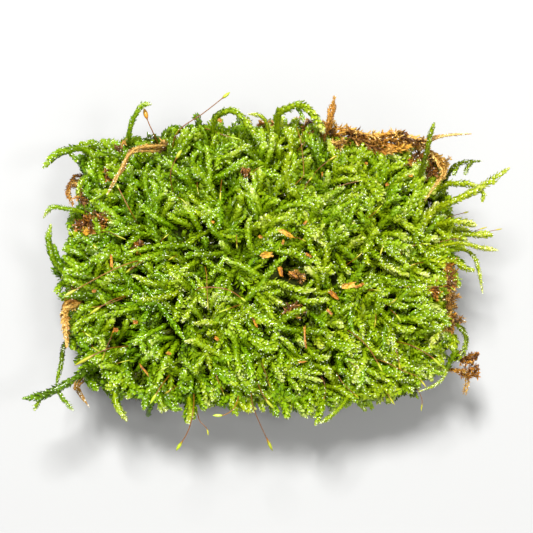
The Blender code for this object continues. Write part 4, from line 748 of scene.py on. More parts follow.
# Palettes: ages, each with its colour. The near-white stop at 0.96 in the living and dead palettes, past
# every leaf, is the painted highlight of the beads of damp.
LIVING_GREEN = [
    (0.00, (0.022, 0.016, 0.003)),
    (0.16, (0.034, 0.044, 0.002)),
    (0.36, (0.070, 0.150, 0.002)),
    (0.60, (0.180, 0.370, 0.002)),
    (0.80, (0.315, 0.530, 0.006)),
    (0.93, (0.510, 0.630, 0.130)),
    # painted highlight of the beads of damp
    (0.96, (0.900, 0.940, 0.740)),
]
LIVING_YELLOW = [
    (0.00, (0.034, 0.022, 0.003)),
    (0.16, (0.070, 0.066, 0.003)),
    (0.36, (0.150, 0.200, 0.003)),
    (0.60, (0.335, 0.425, 0.002)),
    (0.80, (0.490, 0.570, 0.008)),
    (0.93, (0.680, 0.680, 0.160)),
    # painted highlight of the beads of damp
    (0.96, (0.920, 0.940, 0.740)),
]
DEAD_ORANGE = [
    (0.00, (0.030, 0.010, 0.002)),
    (0.30, (0.180, 0.058, 0.005)),
    (0.60, (0.540, 0.210, 0.006)),
    (0.93, (0.860, 0.500, 0.050)),
    # painted highlight of the beads of damp
    (0.96, (0.980, 0.950, 0.750)),
]
DEAD_TAN = [
    (0.00, (0.055, 0.028, 0.006)),
    (0.30, (0.250, 0.130, 0.020)),
    (0.60, (0.640, 0.410, 0.070)),
    (0.93, (0.920, 0.780, 0.340)),
    # painted highlight of the beads of damp
    (0.96, (0.980, 0.960, 0.800)),
]
STALK_PLAIN = [
    (0.00, (0.060, 0.020, 0.002)),
    (0.35, (0.260, 0.090, 0.003)),
    (0.60, (0.320, 0.320, 0.008)),
    (0.80, (0.440, 0.600, 0.020)),
    (1.00, (0.700, 0.840, 0.200)),
]
STALK_RIPE = [
    (0.00, (0.080, 0.024, 0.003)),
    (0.35, (0.240, 0.080, 0.005)),
    (0.70, (0.520, 0.190, 0.006)),
    (1.00, (0.640, 0.300, 0.020)),
]
# Palettes of the bed and the bark, by their noise
BED_BROWN = [(0.25, (0.012, 0.007, 0.003)), (0.50, (0.060, 0.030, 0.011)), (0.75, (0.200, 0.105, 0.040))]
BED_OLIVE = [(0.25, (0.006, 0.007, 0.001)), (0.50, (0.022, 0.032, 0.002)), (0.75, (0.070, 0.076, 0.006))]
BED_OLIVE_FROM = (0.006, 0.014)  # heights in metres where it starts and is full
BARK_ORANGE = [(0.30, (0.100, 0.028, 0.002)), (0.50, (0.380, 0.135, 0.003)), (0.70, (0.640, 0.310, 0.008))]
BARK_TAN = [(0.30, (0.200, 0.085, 0.003)), (0.50, (0.500, 0.260, 0.008)), (0.70, (0.740, 0.460, 0.040))]
BARK_EDGE = 0.16  # how softly the bark's tan patches end
# The level of noise that tan starts from, so that a low one gives mostly tan
GOLDEN_BARK = 0.2
BROWN_BARK = 0.56
# A mix node's share and its two colours go by these numbers, and so does its result
COLOUR_MIX_INPUTS = (0, 6, 7)
COLOUR_MIX_OUTPUT = 2


# Arrays of directions

def unit(vectors):
    return vectors / np.maximum(np.linalg.norm(vectors, axis=-1, keepdims=True), 1e-9)


def faces(count, rng, stray, way=UPWARDS):
    """The directions that shoots face: one way, from which each strays a little."""
    return unit(way + rng.normal(0, stray, (count, 3)))


def any_faces(count, rng):
    return unit(rng.normal(0, 1, (count, 3)))


# The cushion's form

def rim_share(x, y):
    """0 in the cushion's middle and 1 on its rim."""
    across = np.abs((x - CENTRE[0]) / HALF_LENGTH) ** SQUARENESS
    along = np.abs((y - CENTRE[1]) / HALF_WIDTH) ** SQUARENESS
    return (across + along) ** (1 / SQUARENESS)


@np.vectorize
def top_height(x, y):
    mounds = MOUND * noise.noise(Vector((x, y, 3.0)) / MOUND_LENGTH)
    return TOP + mounds - EDGE_DROP * min(float(rim_share(x, y)), 1.1) ** EDGE_DROP_POWER


def lying_height(x, y, least):
    """The surface's height for things that lie on it, or the least height where it drops at the rim."""
    return np.maximum(top_height(x, y), least)


def flare(level):
    """Plan size at a share of the height: narrow at the ground and widest below the rim."""
    low = BASE_SHARE + (1 - BASE_SHARE) * np.sin(0.5 * np.pi * np.minimum(level, WIDEST_AT) / WIDEST_AT)
    return np.where(level < WIDEST_AT, low, 1 - (1 - TOP_SHARE) * (level - WIDEST_AT) / (1 - WIDEST_AT))


def on_rim(turn, share):
    """The place at this share of the way from the middle to the rim, and at this turn round it."""
    c, s = np.cos(turn), np.sin(turn)
    reach = share / (np.abs(c) ** SQUARENESS + np.abs(s) ** SQUARENESS) ** (1 / SQUARENESS)
    return CENTRE[0] + c * reach * HALF_LENGTH, CENTRE[1] + s * reach * HALF_WIDTH


def edge_reach(turn):
    """How far the line of tips lies from the middle, at this turn round it."""
    line = np.array(EDGE) - CENTRE
    turns = np.arctan2(line[:, 1], line[:, 0])
    order = np.argsort(turns)
    reach = np.hypot(line[:, 0], line[:, 1])
    return np.interp(turn, turns[order], reach[order], period=2 * np.pi)


def held_inside(control, rng):
    """The same control points, with those outside the line of tips drawn back to it."""
    x, y = control[..., 0] - CENTRE[0], control[..., 1] - CENTRE[1]
    limit = edge_reach(np.arctan2(y, x)) + rng.normal(0, EDGE_SPREAD, (len(control), 1))
    keep = np.minimum(1, limit / np.maximum(np.hypot(x, y), 1e-6))
    held = control.copy()
    held[..., 0] = CENTRE[0] + x * keep
    held[..., 1] = CENTRE[1] + y * keep
    return held


def outwards(x, y):
    """The level direction straight out of the rim, seen from places inside it."""
    u, v = (x - CENTRE[0]) / HALF_LENGTH, (y - CENTRE[1]) / HALF_WIDTH
    power = SQUARENESS - 1
    across = np.sign(u) * np.abs(u) ** power / HALF_LENGTH
    along = np.sign(v) * np.abs(v) ** power / HALF_WIDTH
    return unit(np.stack([across, along, np.zeros_like(across)], -1))


# Routes

def through(control, places=ROUTE_PLACES):
    """Smooth routes through sets of control points, given and returned as (route, place, xyz)."""
    first = 2 * control[:, :1] - control[:, 1:2]
    last = 2 * control[:, -1:] - control[:, -2:-1]
    ends = np.concatenate([first, control, last], 1)
    spans = control.shape[1] - 1
    at = np.linspace(0, spans, places)
    low = np.minimum(at.astype(int), spans - 1)
    t = (at - low)[:, None]
    a, b, c, d = (ends[:, low + k] for k in range(4))
    return 0.5 * (2 * b + (c - a) * t + (2 * a - 5 * b + 4 * c - d) * t**2 + (3 * b - a - 3 * c + d) * t**3)


def one_route(points, places=FINE_PLACES):
    return through(np.array([points], float), places)


def bent_ways(x, y, heading, bend, length, shares):
    """Level places at shares of ways that set out along their headings and turn by their bends."""
    turn = heading[:, None] + bend[:, None] * shares
    ways_x = x[:, None] + np.cos(turn) * length[:, None] * shares
    ways_y = y[:, None] + np.sin(turn) * length[:, None] * shares
    return ways_x, ways_y


def frames(routes, face):
    """Directions along each route, across it and out of its face, which turns as little as it can."""
    along = unit(np.gradient(routes, axis=1))
    up = np.empty_like(routes)
    current = face
    for place in range(routes.shape[1]):
        ahead = along[:, place]
        current = unit(current - (current * ahead).sum(-1, keepdims=True) * ahead)
        up[:, place] = current
    return along, np.cross(along, up), up


# Leaves and stems, as patches: a patch is vertices, triangles, and the vertices' ages and tones

def leaves(routes, face, habit, rng, age, tone, scale=1.0):
    """Leaves in a spiral up each route, close and forward-pointing at its tip, and their beads of damp,
    painted near white as highlights.
    """
    count, places, _ = routes.shape
    scale = np.broadcast_to(scale, count)
    lengths = np.linalg.norm(np.diff(routes, axis=1), axis=-1).sum(1)
    numbers = np.maximum(LEAST_LEAVES, lengths * habit["per_mm"] / np.sqrt(scale)).astype(int)
    owner = np.repeat(np.arange(count), numbers)
    total = len(owner)
    order = np.arange(total) - np.repeat(np.cumsum(numbers) - numbers, numbers)
    share = (order + rng.uniform(0.1, 0.9, total)) / numbers[owner]
    at = share * (places - 1)
    low = np.minimum(at.astype(int), places - 2)
    part = (at - low)[:, None]
    along, across, up = frames(routes, face)
    foot, ahead, side, out_of = (
        field[owner, low] * (1 - part) + field[owner, low + 1] * part
        for field in (routes, along, across, up)
    )
    ahead, side, out_of = unit(ahead), unit(side), unit(out_of)

    mess = habit["disorder"]
    first_turn = rng.uniform(0, FIRST_TURN, count)
    turn = order * GOLDEN + first_turn[owner] + rng.normal(0, TURN_STRAY + mess, total)
    base_angle, tip_angle = np.radians(habit["spread"])
    angle = tip_angle + (base_angle - tip_angle) * np.interp(share, *OPENING)
    angle = angle * (habit["flatness"] + (1 - habit["flatness"]) * np.abs(np.cos(turn)))
    angle = angle + rng.normal(0, ANGLE_STRAY + mess, total)
    radial = np.cos(turn)[:, None] * side + np.sin(turn)[:, None] * out_of
    c, s = np.cos(angle)[:, None], np.sin(angle)[:, None]
    lengthwise = c * ahead + s * radial
    outward = c * radial - s * ahead
    sideways = np.cross(lengthwise, outward)
    roll = rng.normal(0, ROLL_STRAY + mess, total)[:, None]
    sideways, outward = (
        np.cos(roll) * sideways + np.sin(roll) * outward,
        np.cos(roll) * outward - np.sin(roll) * sideways,
    )

    size = habit["leaf"] * scale[owner] * rng.uniform(*SIZE_RANGE, total)
    left = 1 - habit["taper"] * share
    size = size * left * np.interp(share, *LEAF_SIZES)
    width = size * habit["width"] * rng.uniform(*WIDTH_RANGE, total)
    shape, triangles, bead = habit["shape"]
    curl = rng.normal(CURL, CURL_STRAY + mess, total)
    arch = shape[None, :, 2] + curl[:, None] * shape[None, :, 0] ** 3
    away = habit["foot"] * scale[owner] * left * np.interp(share, *LEAF_FEET)
    points = (
        (foot + radial * away[:, None])[:, None, :]
        + (size[:, None] * shape[None, :, 0])[..., None] * lengthwise[:, None, :]
        + (width[:, None] * shape[None, :, 1])[..., None] * sideways[:, None, :]
        + (size[:, None] * arch)[..., None] * outward[:, None, :]
    )
    patchy = PATCH_DEPTH * np.array([noise.noise(Vector(spot) / PATCH_SIZE) for spot in foot])
    # Leaves are painted lighter to the right as a painted side light; growth and patches also set their
    # ages
    ages = age[owner] + PAINTED_SIDE_LIGHT * foot[:, 0] + GROWTH * (share - GROWTH_MIDDLE) + patchy
    ages += rng.normal(0, AGE_STRAY, total)
    ages = np.clip(ages[:, None] + shape[None, :, 3], *LEAF_AGES)
    tones = np.repeat((tone[owner] + rng.normal(0, TONE_STRAY, total))[:, None], len(shape), 1)
    corners = triangles[None] + (np.arange(total) * len(shape))[:, None, None]
    # Beads go only on leaves that face up towards the lamps: they are painted highlights
    damp = (rng.uniform(0, 1, total) < habit["damp"]) & (outward[:, 2] > GLINT_FACING_UP)
    middles = sum(points[damp, corner] * weight for corner, weight in bead)
    beads = damp_glint_beads(middles, lengthwise[damp], sideways[damp], outward[damp], tones[damp, 0], rng)
    return (points.reshape(-1, 3), corners.reshape(-1, 3), ages.ravel(), tones.ravel()), beads


def damp_glint_beads(middles, lengthwise, sideways, outward, tone, rng):
    """Beads of damp that lie on leaves, coloured near white as painted highlights."""
    count = len(middles)
    radius = rng.uniform(*BEAD_RADIUS, count)[:, None, None]
    spread = BEAD[None, :, 0, None] * lengthwise[:, None] + BEAD[None, :, 1, None] * sideways[:, None]
    points = middles[:, None] + radius * (spread + BEAD[None, :, 2, None] * outward[:, None])
    corners = BEAD_TRIANGLES[None] + (np.arange(count) * len(BEAD))[:, None, None]
    # Their age is the palette's near-white top: a painted highlight
    ages = np.full(count * len(BEAD), PAINTED_GLINT_AGE)
    return points.reshape(-1, 3), corners.reshape(-1, 3), ages, np.repeat(tone, len(BEAD))


def stems(routes, radii, age, tone, sides):
    """Tubes along the routes, closed at both ends. Radii are given at each place of a route."""
    count, places, _ = routes.shape
    face = np.zeros((count, 3)) + STEM_FACE
    _, across, up = frames(routes, unit(face))
    turn = np.arange(sides) * 2 * np.pi / sides
    ring = np.cos(turn)[:, None] * across[:, :, None] + np.sin(turn)[:, None] * up[:, :, None]
    radii = np.broadcast_to(radii, (count, places))
    points = routes[:, :, None] + ring * radii[..., None, None]
    low = np.arange(places - 1)[:, None] * sides + np.arange(sides)
    side = np.arange(places - 1)[:, None] * sides + (np.arange(sides) + 1) % sides
    walls = np.stack([
        np.stack([low, side, side + sides], -1), np.stack([low, side + sides, low + sides], -1)
    ]).reshape(-1, 3)
    near_end = np.array([(0, k + 1, k) for k in range(1, sides - 1)])
    far_end = near_end[:, ::-1] + (places - 1) * sides
    tube = np.concatenate([walls, near_end, far_end])
    corners = tube[None] + (np.arange(count) * places * sides)[:, None, None]
    ages = np.broadcast_to(np.asarray(age, float).reshape(count, -1, 1), (count, places, sides))
    tones = np.broadcast_to(np.asarray(tone, float).reshape(count, 1, 1), (count, places, sides))
    return points.reshape(-1, 3), corners.reshape(-1, 3), ages.ravel(), tones.ravel()


def clad(routes, face, habit, rng, age, tone, scale=1.0):
    """Whole shoots: leaves, their beads of damp painted near white as highlights, and the stem that they
    grow on.
    """
    coarse = routes[:, ::3]
    share = np.linspace(0, 1, coarse.shape[1])
    body = np.interp(share, *STEM_SIZES) * (1 - habit["taper"] * share)
    thick = habit["body"] * body * np.reshape(scale, (-1, 1))
    return [
        *leaves(routes, face, habit, rng, age, tone, scale),
        stems(coarse, thick, np.minimum(age - OLDER_STEM, LEAF_AGES[1]), tone, habit["sides"]),
    ]


# Pieces

def placed(name, data):
    """A new object in the scene."""
    thing = bpy.data.objects.new(name, data)
    bpy.context.scene.collection.objects.link(thing)
    return thing


def settle(piece, slot, *nodes):
    """A piece's body, and the nodes that it stands for, which are hidden. The slot is not used."""
    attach(piece, "root")
    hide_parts(*nodes)


def new_piece(name, patches, material, slot, *nodes):
    """One mesh from patches. Its age and tone are attributes, and its map lays them out as a palette."""
    points, corners, ages, tones = zip(*patches)
    starts = np.cumsum([0, *(len(patch) for patch in points[:-1])])
    corners = np.concatenate([patch + start for patch, start in zip(corners, starts)])
    points = np.concatenate(points)
    points[:, 2] = np.maximum(points[:, 2], GROUND_GAP)
    ages = np.clip(np.concatenate(ages), *PALETTE_ENDS).astype(np.float32)
    tones = np.clip(np.concatenate(tones), *PALETTE_ENDS).astype(np.float32)
    mesh = bpy.data.meshes.new(name)
    mesh.vertices.add(len(points))
    mesh.vertices.foreach_set("co", (points * MM).astype(np.float32).ravel())
    mesh.loops.add(corners.size)
    mesh.loops.foreach_set("vertex_index", corners.astype(np.int32).ravel())
    mesh.polygons.add(len(corners))
    mesh.polygons.foreach_set("loop_start", np.arange(0, corners.size, 3, dtype=np.int32))
    mesh.polygons.foreach_set("use_smooth", np.ones(len(corners), bool))
    mesh.update(calc_edges=True)
    mesh.attributes.new("age", "FLOAT", "POINT").data.foreach_set("value", ages)
    mesh.attributes.new("tone", "FLOAT", "POINT").data.foreach_set("value", tones)
    palette = mesh.uv_layers.new(name="OFBake")
    palette.data.foreach_set("uv", np.stack([ages, tones], -1)[corners.ravel()].ravel())
    mesh.materials.append(material)
    settle(placed(name, mesh), slot, *nodes)


# Materials

def set_inputs(node, values):
    for name, value in values.items():
        node.inputs[name].default_value = value


def new_node(tree, kind, values):
    node = tree.nodes.new(kind)
    set_inputs(node, values)
    return node


def new_material(name, values):
    material = bpy.data.materials.new(name)
    material.use_nodes = True
    tree = material.node_tree
    shader = tree.nodes["Principled BSDF"]
    set_inputs(shader, values)
    return material, tree, shader


def ramp(tree, palette, source):
    """The colour of a palette at the source's value."""
    node = tree.nodes.new("ShaderNodeValToRGB")
    elements = node.color_ramp.elements
    while len(elements) < len(palette):
        elements.new(0.5)
    for element, (place, colour) in zip(elements, palette):
        element.position = place
        element.color = (*colour, 1)
    tree.links.new(source, node.inputs["Fac"])
    return node.outputs["Color"]


def attribute(tree, name):
    node = tree.nodes.new("ShaderNodeAttribute")
    node.attribute_name = name
    return node.outputs["Fac"]


def blended(tree, share, first, second):
    """A colour between two others. The mix node's inputs go by number, because several share a name."""
    node = tree.nodes.new("ShaderNodeMix")
    node.data_type = "RGBA"
    for number, source in zip(COLOUR_MIX_INPUTS, (share, first, second)):
        tree.links.new(source, node.inputs[number])
    return node.outputs[COLOUR_MIX_OUTPUT]


def between(tree, first, second):
    """A colour between two palettes: its place in them is the age, and the tone says how far between."""
    first, second = (ramp(tree, palette, attribute(tree, "age")) for palette in (first, second))
    return blended(tree, attribute(tree, "tone"), first, second)


def object_place(tree):
    return tree.nodes.new("ShaderNodeTexCoord").outputs["Object"]


def speckle(tree, place, values):
    """Noise over the surface, from 0 to 1."""
    node = new_node(tree, "ShaderNodeTexNoise", values)
    tree.links.new(place, node.inputs["Vector"])
    return node.outputs["Fac"]


def bumps(tree, shader, height, strength, distance):
    bump = new_node(tree, "ShaderNodeBump", {"Strength": strength, "Distance": distance})
    tree.links.new(height, bump.inputs["Height"])
    tree.links.new(bump.outputs["Normal"], shader.inputs["Normal"])


def rough_skin(tree, shader, scale, distance):
    """A fine grain on the surface."""
    grain = speckle(tree, object_place(tree), {"Scale": scale, "Detail": 3})
    bumps(tree, shader, grain, 0.5, distance)


def see_light_through(tree, shader, colour, share):
    """Thin leaves glow a little where light reaches them from behind."""
    glow = tree.nodes.new("ShaderNodeBsdfTranslucent")
    mix = new_node(tree, "ShaderNodeMixShader", {"Fac": share})
    tree.links.new(colour, glow.inputs["Color"])
    tree.links.new(shader.outputs["BSDF"], mix.inputs[1])
    tree.links.new(glow.outputs["BSDF"], mix.inputs[2])
    tree.links.new(mix.outputs["Shader"], tree.nodes["Material Output"].inputs["Surface"])


def living_material():
    material, tree, shader = new_material("living moss", {
        "Roughness": 0.45, "Specular IOR Level": 0.1,
        "Coat Weight": 1.0, "Coat Roughness": 0.1, "Coat IOR": 1.5,
    })
    colour = between(tree, LIVING_GREEN, LIVING_YELLOW)
    tree.links.new(colour, shader.inputs["Base Color"])
    rough_skin(tree, shader, 2600, 0.00002)
    see_light_through(tree, shader, colour, 0.35)
    return material


def dead_material():
    material, tree, shader = new_material("dead moss", {
        "Roughness": 0.55, "Coat Weight": 0.25, "Coat Roughness": 0.25,
    })
    colour = between(tree, DEAD_ORANGE, DEAD_TAN)
    tree.links.new(colour, shader.inputs["Base Color"])
    rough_skin(tree, shader, 2200, 0.0001)
    see_light_through(tree, shader, colour, 0.15)
    return material


def stalk_material():
    material, tree, shader = new_material("fruiting stalk", {
        "Roughness": 0.45, "Coat Weight": 0.1, "Coat Roughness": 0.12,
    })
    tree.links.new(between(tree, STALK_PLAIN, STALK_RIPE), shader.inputs["Base Color"])
    rough_skin(tree, shader, 3000, 0.00003)
    return material


def bed_material():
    """Old brown stems and soil, with dark green where it nears the living moss."""
    material, tree, shader = new_material("moss bed", {"Roughness": 0.9, "Specular IOR Level": 0.15})
    place = object_place(tree)
    stretch = new_node(tree, "ShaderNodeMapping", {"Scale": (1, 1, 0.35)})
    tree.links.new(place, stretch.inputs["Vector"])
    fibres = speckle(tree, stretch.outputs["Vector"], {"Scale": 900, "Detail": 6, "Roughness": 0.7})
    height = tree.nodes.new("ShaderNodeSeparateXYZ")
    tree.links.new(place, height.inputs["Vector"])
    low, high = BED_OLIVE_FROM
    share = new_node(tree, "ShaderNodeMapRange", {"From Min": low, "From Max": high})
    tree.links.new(height.outputs["Z"], share.inputs["Value"])
    brown, olive = (ramp(tree, palette, fibres) for palette in (BED_BROWN, BED_OLIVE))
    colour = blended(tree, share.outputs["Result"], brown, olive)
    tree.links.new(colour, shader.inputs["Base Color"])
    bumps(tree, shader, fibres, 0.9, 0.0006)
    return material


def bark_material(name, tan_from):
    """Tan where the patches pass a level and orange-brown elsewhere, with a darker grain."""
    material, tree, shader = new_material(name, {"Roughness": 0.5})
    place = object_place(tree)
    grain = speckle(tree, place, {"Scale": 1800, "Detail": 5})
    patch = speckle(tree, place, {"Scale": 170})
    side = ramp(tree, [(tan_from, (0, 0, 0)), (tan_from + BARK_EDGE, (1, 1, 1))], patch)
    orange, tan = (ramp(tree, palette, grain) for palette in (BARK_ORANGE, BARK_TAN))
    tree.links.new(blended(tree, side, orange, tan), shader.inputs["Base Color"])
    rough_skin(tree, shader, 2000, 0.0001)
    return material


# The bed

def bed_cage():
    """The bed's coarse form: a cube with its faces cut up, pressed into the cushion's shape."""
    cage = bmesh.new()
    bmesh.ops.create_cube(cage, size=2)
    bmesh.ops.subdivide_edges(cage, edges=cage.edges, cuts=BED_CUTS, use_grid_fill=True)
    for corner in cage.verts:
        u, v, w = corner.co
        ring = max(abs(u), abs(v))
        squeeze = ring / max((abs(u) ** SQUARENESS + abs(v) ** SQUARENESS) ** (1 / SQUARENESS), 1e-9)
        level = (w + 1) / 2
        size = squeeze * float(flare(level))
        inset = BED_SIDE_INSET * min(1, 0.15 + level * 3)
        x = u * size * (HALF_LENGTH - inset) + CENTRE[0]
        y = v * size * (HALF_WIDTH - inset) + CENTRE[1]
        corner.co = Vector((x, y, level * (float(top_height(x, y)) - BED_TOP_INSET))) * MM
    mesh = bpy.data.meshes.new("moss_bed")
    cage.to_mesh(mesh)
    cage.free()
    return mesh


def moss_bed(material):
    """A lumpy core with a flat cut underneath, smaller all round than the cushion."""
    piece = placed("moss_bed", bed_cage())
    skin = piece.modifiers.new("skin", "SUBSURF")
    skin.levels = skin.render_levels = BED_SMOOTHING
    depsgraph = bpy.context.evaluated_depsgraph_get()
    fine = bpy.data.meshes.new_from_object(piece.evaluated_get(depsgraph))
    piece.modifiers.clear()
    piece.data = fine
    lowest = min(vertex.co.z for vertex in fine.vertices)
    for vertex in fine.vertices:
        height = vertex.co.z - lowest
        if height > BED_FLAT:
            lumps = noise.noise_vector(vertex.co * BED_LUMPS)
            shift = lumps + 0.6 * noise.noise_vector(vertex.co * BED_GRAINS)
            vertex.co += shift * BED_ROUGHNESS * MM * min(1, height / BED_ROUGH_FROM)
            vertex.co.z = max(vertex.co.z, BED_FLAT)
        else:
            vertex.co.z = 0
    fine.polygons.foreach_set("use_smooth", np.ones(len(fine.polygons), bool))
    fine.materials.append(material)
    settle(piece, "dark_moss", "moss_cushion")


# Living shoots of the cushion

def open_place(control, open_share):
    """True for shoots that leave this share of every gap open."""
    clear = np.ones(len(control), bool)
    for x, y, radius in GAPS:
        nearest = np.hypot(control[..., 0] - x, control[..., 1] - y).min(1)
        clear &= nearest >= radius * open_share
    return clear


def plan_heading(x, y, rng):
    """Which way a shoot heads: away from the source, and straight out near the rim."""
    away = np.arctan2(y - FLOW_SOURCE[1], x - FLOW_SOURCE[0])
    out = outwards(x, y)
    rim = np.clip((rim_share(x, y) - FLOW_TURNS_OUT_AT) / (1 - FLOW_TURNS_OUT_AT), 0, 1)
    mean_x = np.cos(away) * (1 - rim) + out[:, 0] * rim
    mean_y = np.sin(away) * (1 - rim) + out[:, 1] * rim
    wander = WANDER[0] + (WANDER[1] - WANDER[0]) * rim
    return np.arctan2(mean_y, mean_x) + rng.normal(0, 1, len(x)) * wander


def laid(x, y, heading, length, bend, lift, rng):
    """Control points of shoots that rise out of the cushion, arch over and run along it."""
    shares = np.array(LAID_SHARES)
    px, py = bent_ways(x, y, heading, bend, length, shares)
    beyond = np.maximum(rim_share(px, py) - 1, 0)
    lifted = lift[:, None] * np.minimum(shares * 2, 1)
    pz = top_height(px, py) + np.array(LAID_RISES) + lifted - FALL_PAST_RIM * beyond
    pz += rng.normal(0, LAID_STRAY, pz.shape)
    return np.stack([px, py, pz], -1)


def sprays(layer, rng):
    """Main shoots over the upper surface, and their side branches, as control points."""
    grid_x, grid_y = np.meshgrid(
        np.arange(-HALF_LENGTH, HALF_LENGTH, SPRAY_PITCH[0]),
        np.arange(-HALF_WIDTH, HALF_WIDTH, SPRAY_PITCH[1]),
    )
    stray_x, stray_y = SPRAY_STRAY
    x = grid_x.ravel() + CENTRE[0] + rng.uniform(-stray_x, stray_x, grid_x.size)
    y = grid_y.ravel() + CENTRE[1] + rng.uniform(-stray_y, stray_y, grid_x.size)
    keep = (rim_share(x, y) < SPRAY_REACH) & (rng.uniform(0, 1, x.size) < layer["share"])
    x, y = x[keep], y[keep]
    heading = plan_heading(x, y, rng)
    length = rng.uniform(*SPRAY_LENGTH, len(x))
    x, y = x - np.cos(heading) * length * SPRAY_BEFORE, y - np.sin(heading) * length * SPRAY_BEFORE
    lift = rng.uniform(*layer["lift"], len(x))
    bend = rng.uniform(-SPRAY_BEND, SPRAY_BEND, len(x))
    mains = laid(x, y, heading, length, bend, lift, rng)
    routes = through(mains)
    return mains, np.concatenate([
        twigs(routes, share, (1, -1)[number % 2], rng) for number, share in enumerate(BRANCHES_AT)
    ])


def twigs(routes, share, usual_side, rng):
    """Side branches that some routes have at a share of their length, mostly on the same side."""
    has = rng.uniform(0, 1, len(routes)) < BRANCH_CHANCE
    at = int(share * (ROUTE_PLACES - 1))
    foot = routes[has, at]
    ahead = unit(routes[has, at + 1] - routes[has, at])
    side = usual_side * rng.choice((-1, 1), len(foot), p=BRANCH_SIDES)
    angle = np.arctan2(ahead[:, 1], ahead[:, 0]) + side * rng.uniform(*BRANCH_ANGLE, len(foot))
    reach = rng.uniform(*BRANCH_LENGTH, len(foot)) * (BRANCH_AT_FOOT - BRANCH_SHRINKS * share)
    curve = -side * rng.uniform(*BRANCH_BEND, len(foot))
    shares = np.array(BRANCH_SHARES)
    px, py = bent_ways(foot[:, 0], foot[:, 1], angle, curve, reach, shares)
    pz = foot[:, 2:] + rng.uniform(*BRANCH_RISE, (len(foot), 1)) * shares
    return np.stack([px, py, pz], -1)


@np.vectorize
def drift(x, y):
    return noise.noise(Vector((x, y, 40.0)) / DRIFT_LENGTH)


def tone_at(x, y, rng):
    """Yellower to the right of the clump, and from patch to patch."""
    return MEAN_TONE + YELLOWER_TO_RIGHT * x + TONE_DRIFT * drift(x, y) + rng.normal(0, 0.12, len(x))


def upper_moss(material, rng):
    """The layers of sprays, each in three pieces from left to right."""
    for name, layer in LAYERS.items():
        mains, branches = sprays(layer, rng)
        thirds = {"left": [], "middle": [], "right": []}
        for control, scale in ((mains, 1.0), (branches, TWIG_SIZE)):
            control = held_inside(control, rng)
            control = control[open_place(control, layer["open"])]
            routes = through(control)
            face = faces(len(routes), rng, 0.25)
            # Lower layers take lower ages: partly older growth, partly painted shade under the layers above
            age = rng.uniform(*layer["age"], len(routes))
            tone = tone_at(control[:, 0, 0], control[:, 0, 1], rng)
            sizes = scale * rng.uniform(*SPRAY_SIZES, len(routes))
            third = np.digitize(control[:, 1, 0], THIRDS)
            for number, patches in enumerate(thirds.values()):
                mine = third == number
                patches += clad(
                    routes[mine], face[mine], layer["habit"], rng, age[mine], tone[mine], sizes[mine]
                )
        for place, patches in thirds.items():
            new_piece(f"{name}_{place}", patches, material, "living_moss", "moss_cushion")


def chief_control(way):
    """Level control points of one of the uppermost shoots, with one point more before its foot."""
    way = np.array(way, float)
    start = way[0] - (way[1] - way[0]) * CHIEF_ROOT / np.hypot(*(way[1] - way[0]))
    way = np.vstack([start, way])
    run = np.concatenate([[0], np.cumsum(np.hypot(*np.diff(way, axis=0).T))])
    places = np.concatenate([[0], np.linspace(CHIEF_ROOT, run[-1], len(CHIEF_RISES) - 1)])
    return np.stack([np.interp(places, run, way[:, axis]) for axis in (0, 1)], -1)


def chief_shoots(material, rng):
    """The shoots that lie uppermost, each where it is in the clump, from foot to tip."""
    plan = np.array([chief_control(way) for way in SHOOTS])
    count = len(plan)
    level = lying_height(plan[..., 0], plan[..., 1], CHIEF_LEAST) + np.array(CHIEF_RISES)
    height = level + rng.uniform(*CHIEF_LIFT, (count, 1)) + rng.normal(0, CHIEF_STRAY, level.shape)
    routes = through(np.concatenate([plan, height[..., None]], -1), CHIEF_PLACES)
    face = faces(count, rng, 0.22)
    age = rng.uniform(*CHIEF_AGES, count)
    tone = tone_at(plan[:, 2, 0], plan[:, 2, 1], rng)
    size = rng.uniform(*CHIEF_SIZES, count)
    back = plan[:, 2, 1] > CHIEF_SPLIT
    for name, mine in (("back", back), ("front", ~back)):
        patches = clad(routes[mine], face[mine], LIVING, rng, age[mine], tone[mine], size[mine])
        new_piece("moss_chief_" + name, patches, material, "living_moss", "moss_cushion")


def rim_moss(material, rng):
    """Shoots that lean out over the rim, as far as the line of tips."""
    line = np.array(EDGE) - CENTRE
    steps = np.hypot(*(np.roll(line, -1, 0) - line).T)
    at = (np.arange(RIM_SHOOTS) + rng.uniform(-0.4, 0.4, RIM_SHOOTS)) * steps.sum() / RIM_SHOOTS
    before = np.concatenate([[0], np.cumsum(steps)])
    closed = np.concatenate([line, line[:1]])
    tip_x, tip_y = (np.interp(at, before, closed[:, k], period=before[-1]) for k in (0, 1))
    out = outwards(tip_x + CENTRE[0], tip_y + CENTRE[1])
    heading = np.arctan2(out[:, 1], out[:, 0]) + rng.normal(0, RIM_WANDER, RIM_SHOOTS)
    length = rng.uniform(*RIM_LENGTH, RIM_SHOOTS)
    x = CENTRE[0] + tip_x - np.cos(heading) * length
    y = CENTRE[1] + tip_y - np.sin(heading) * length
    lift = rng.uniform(*RIM_LIFT, RIM_SHOOTS)
    bend = rng.uniform(-RIM_BEND, RIM_BEND, RIM_SHOOTS)
    routes = through(held_inside(laid(x, y, heading - bend / 2, length, bend, lift, rng), rng))
    face = faces(RIM_SHOOTS, rng, 0.2, out * 0.5 + UPWARDS)
    age = rng.uniform(*RIM_AGES, RIM_SHOOTS)
    tone = tone_at(x, y, rng)
    shaded = lift <= RIM_SHADED_UNDER
    patches = []
    for habit, mine in ((LIVING, ~shaded), (SHADED, shaded)):
        patches += clad(routes[mine], face[mine], habit, rng, age[mine], tone[mine])
    new_piece("moss_rim", patches, material, "living_moss", "moss_cushion")


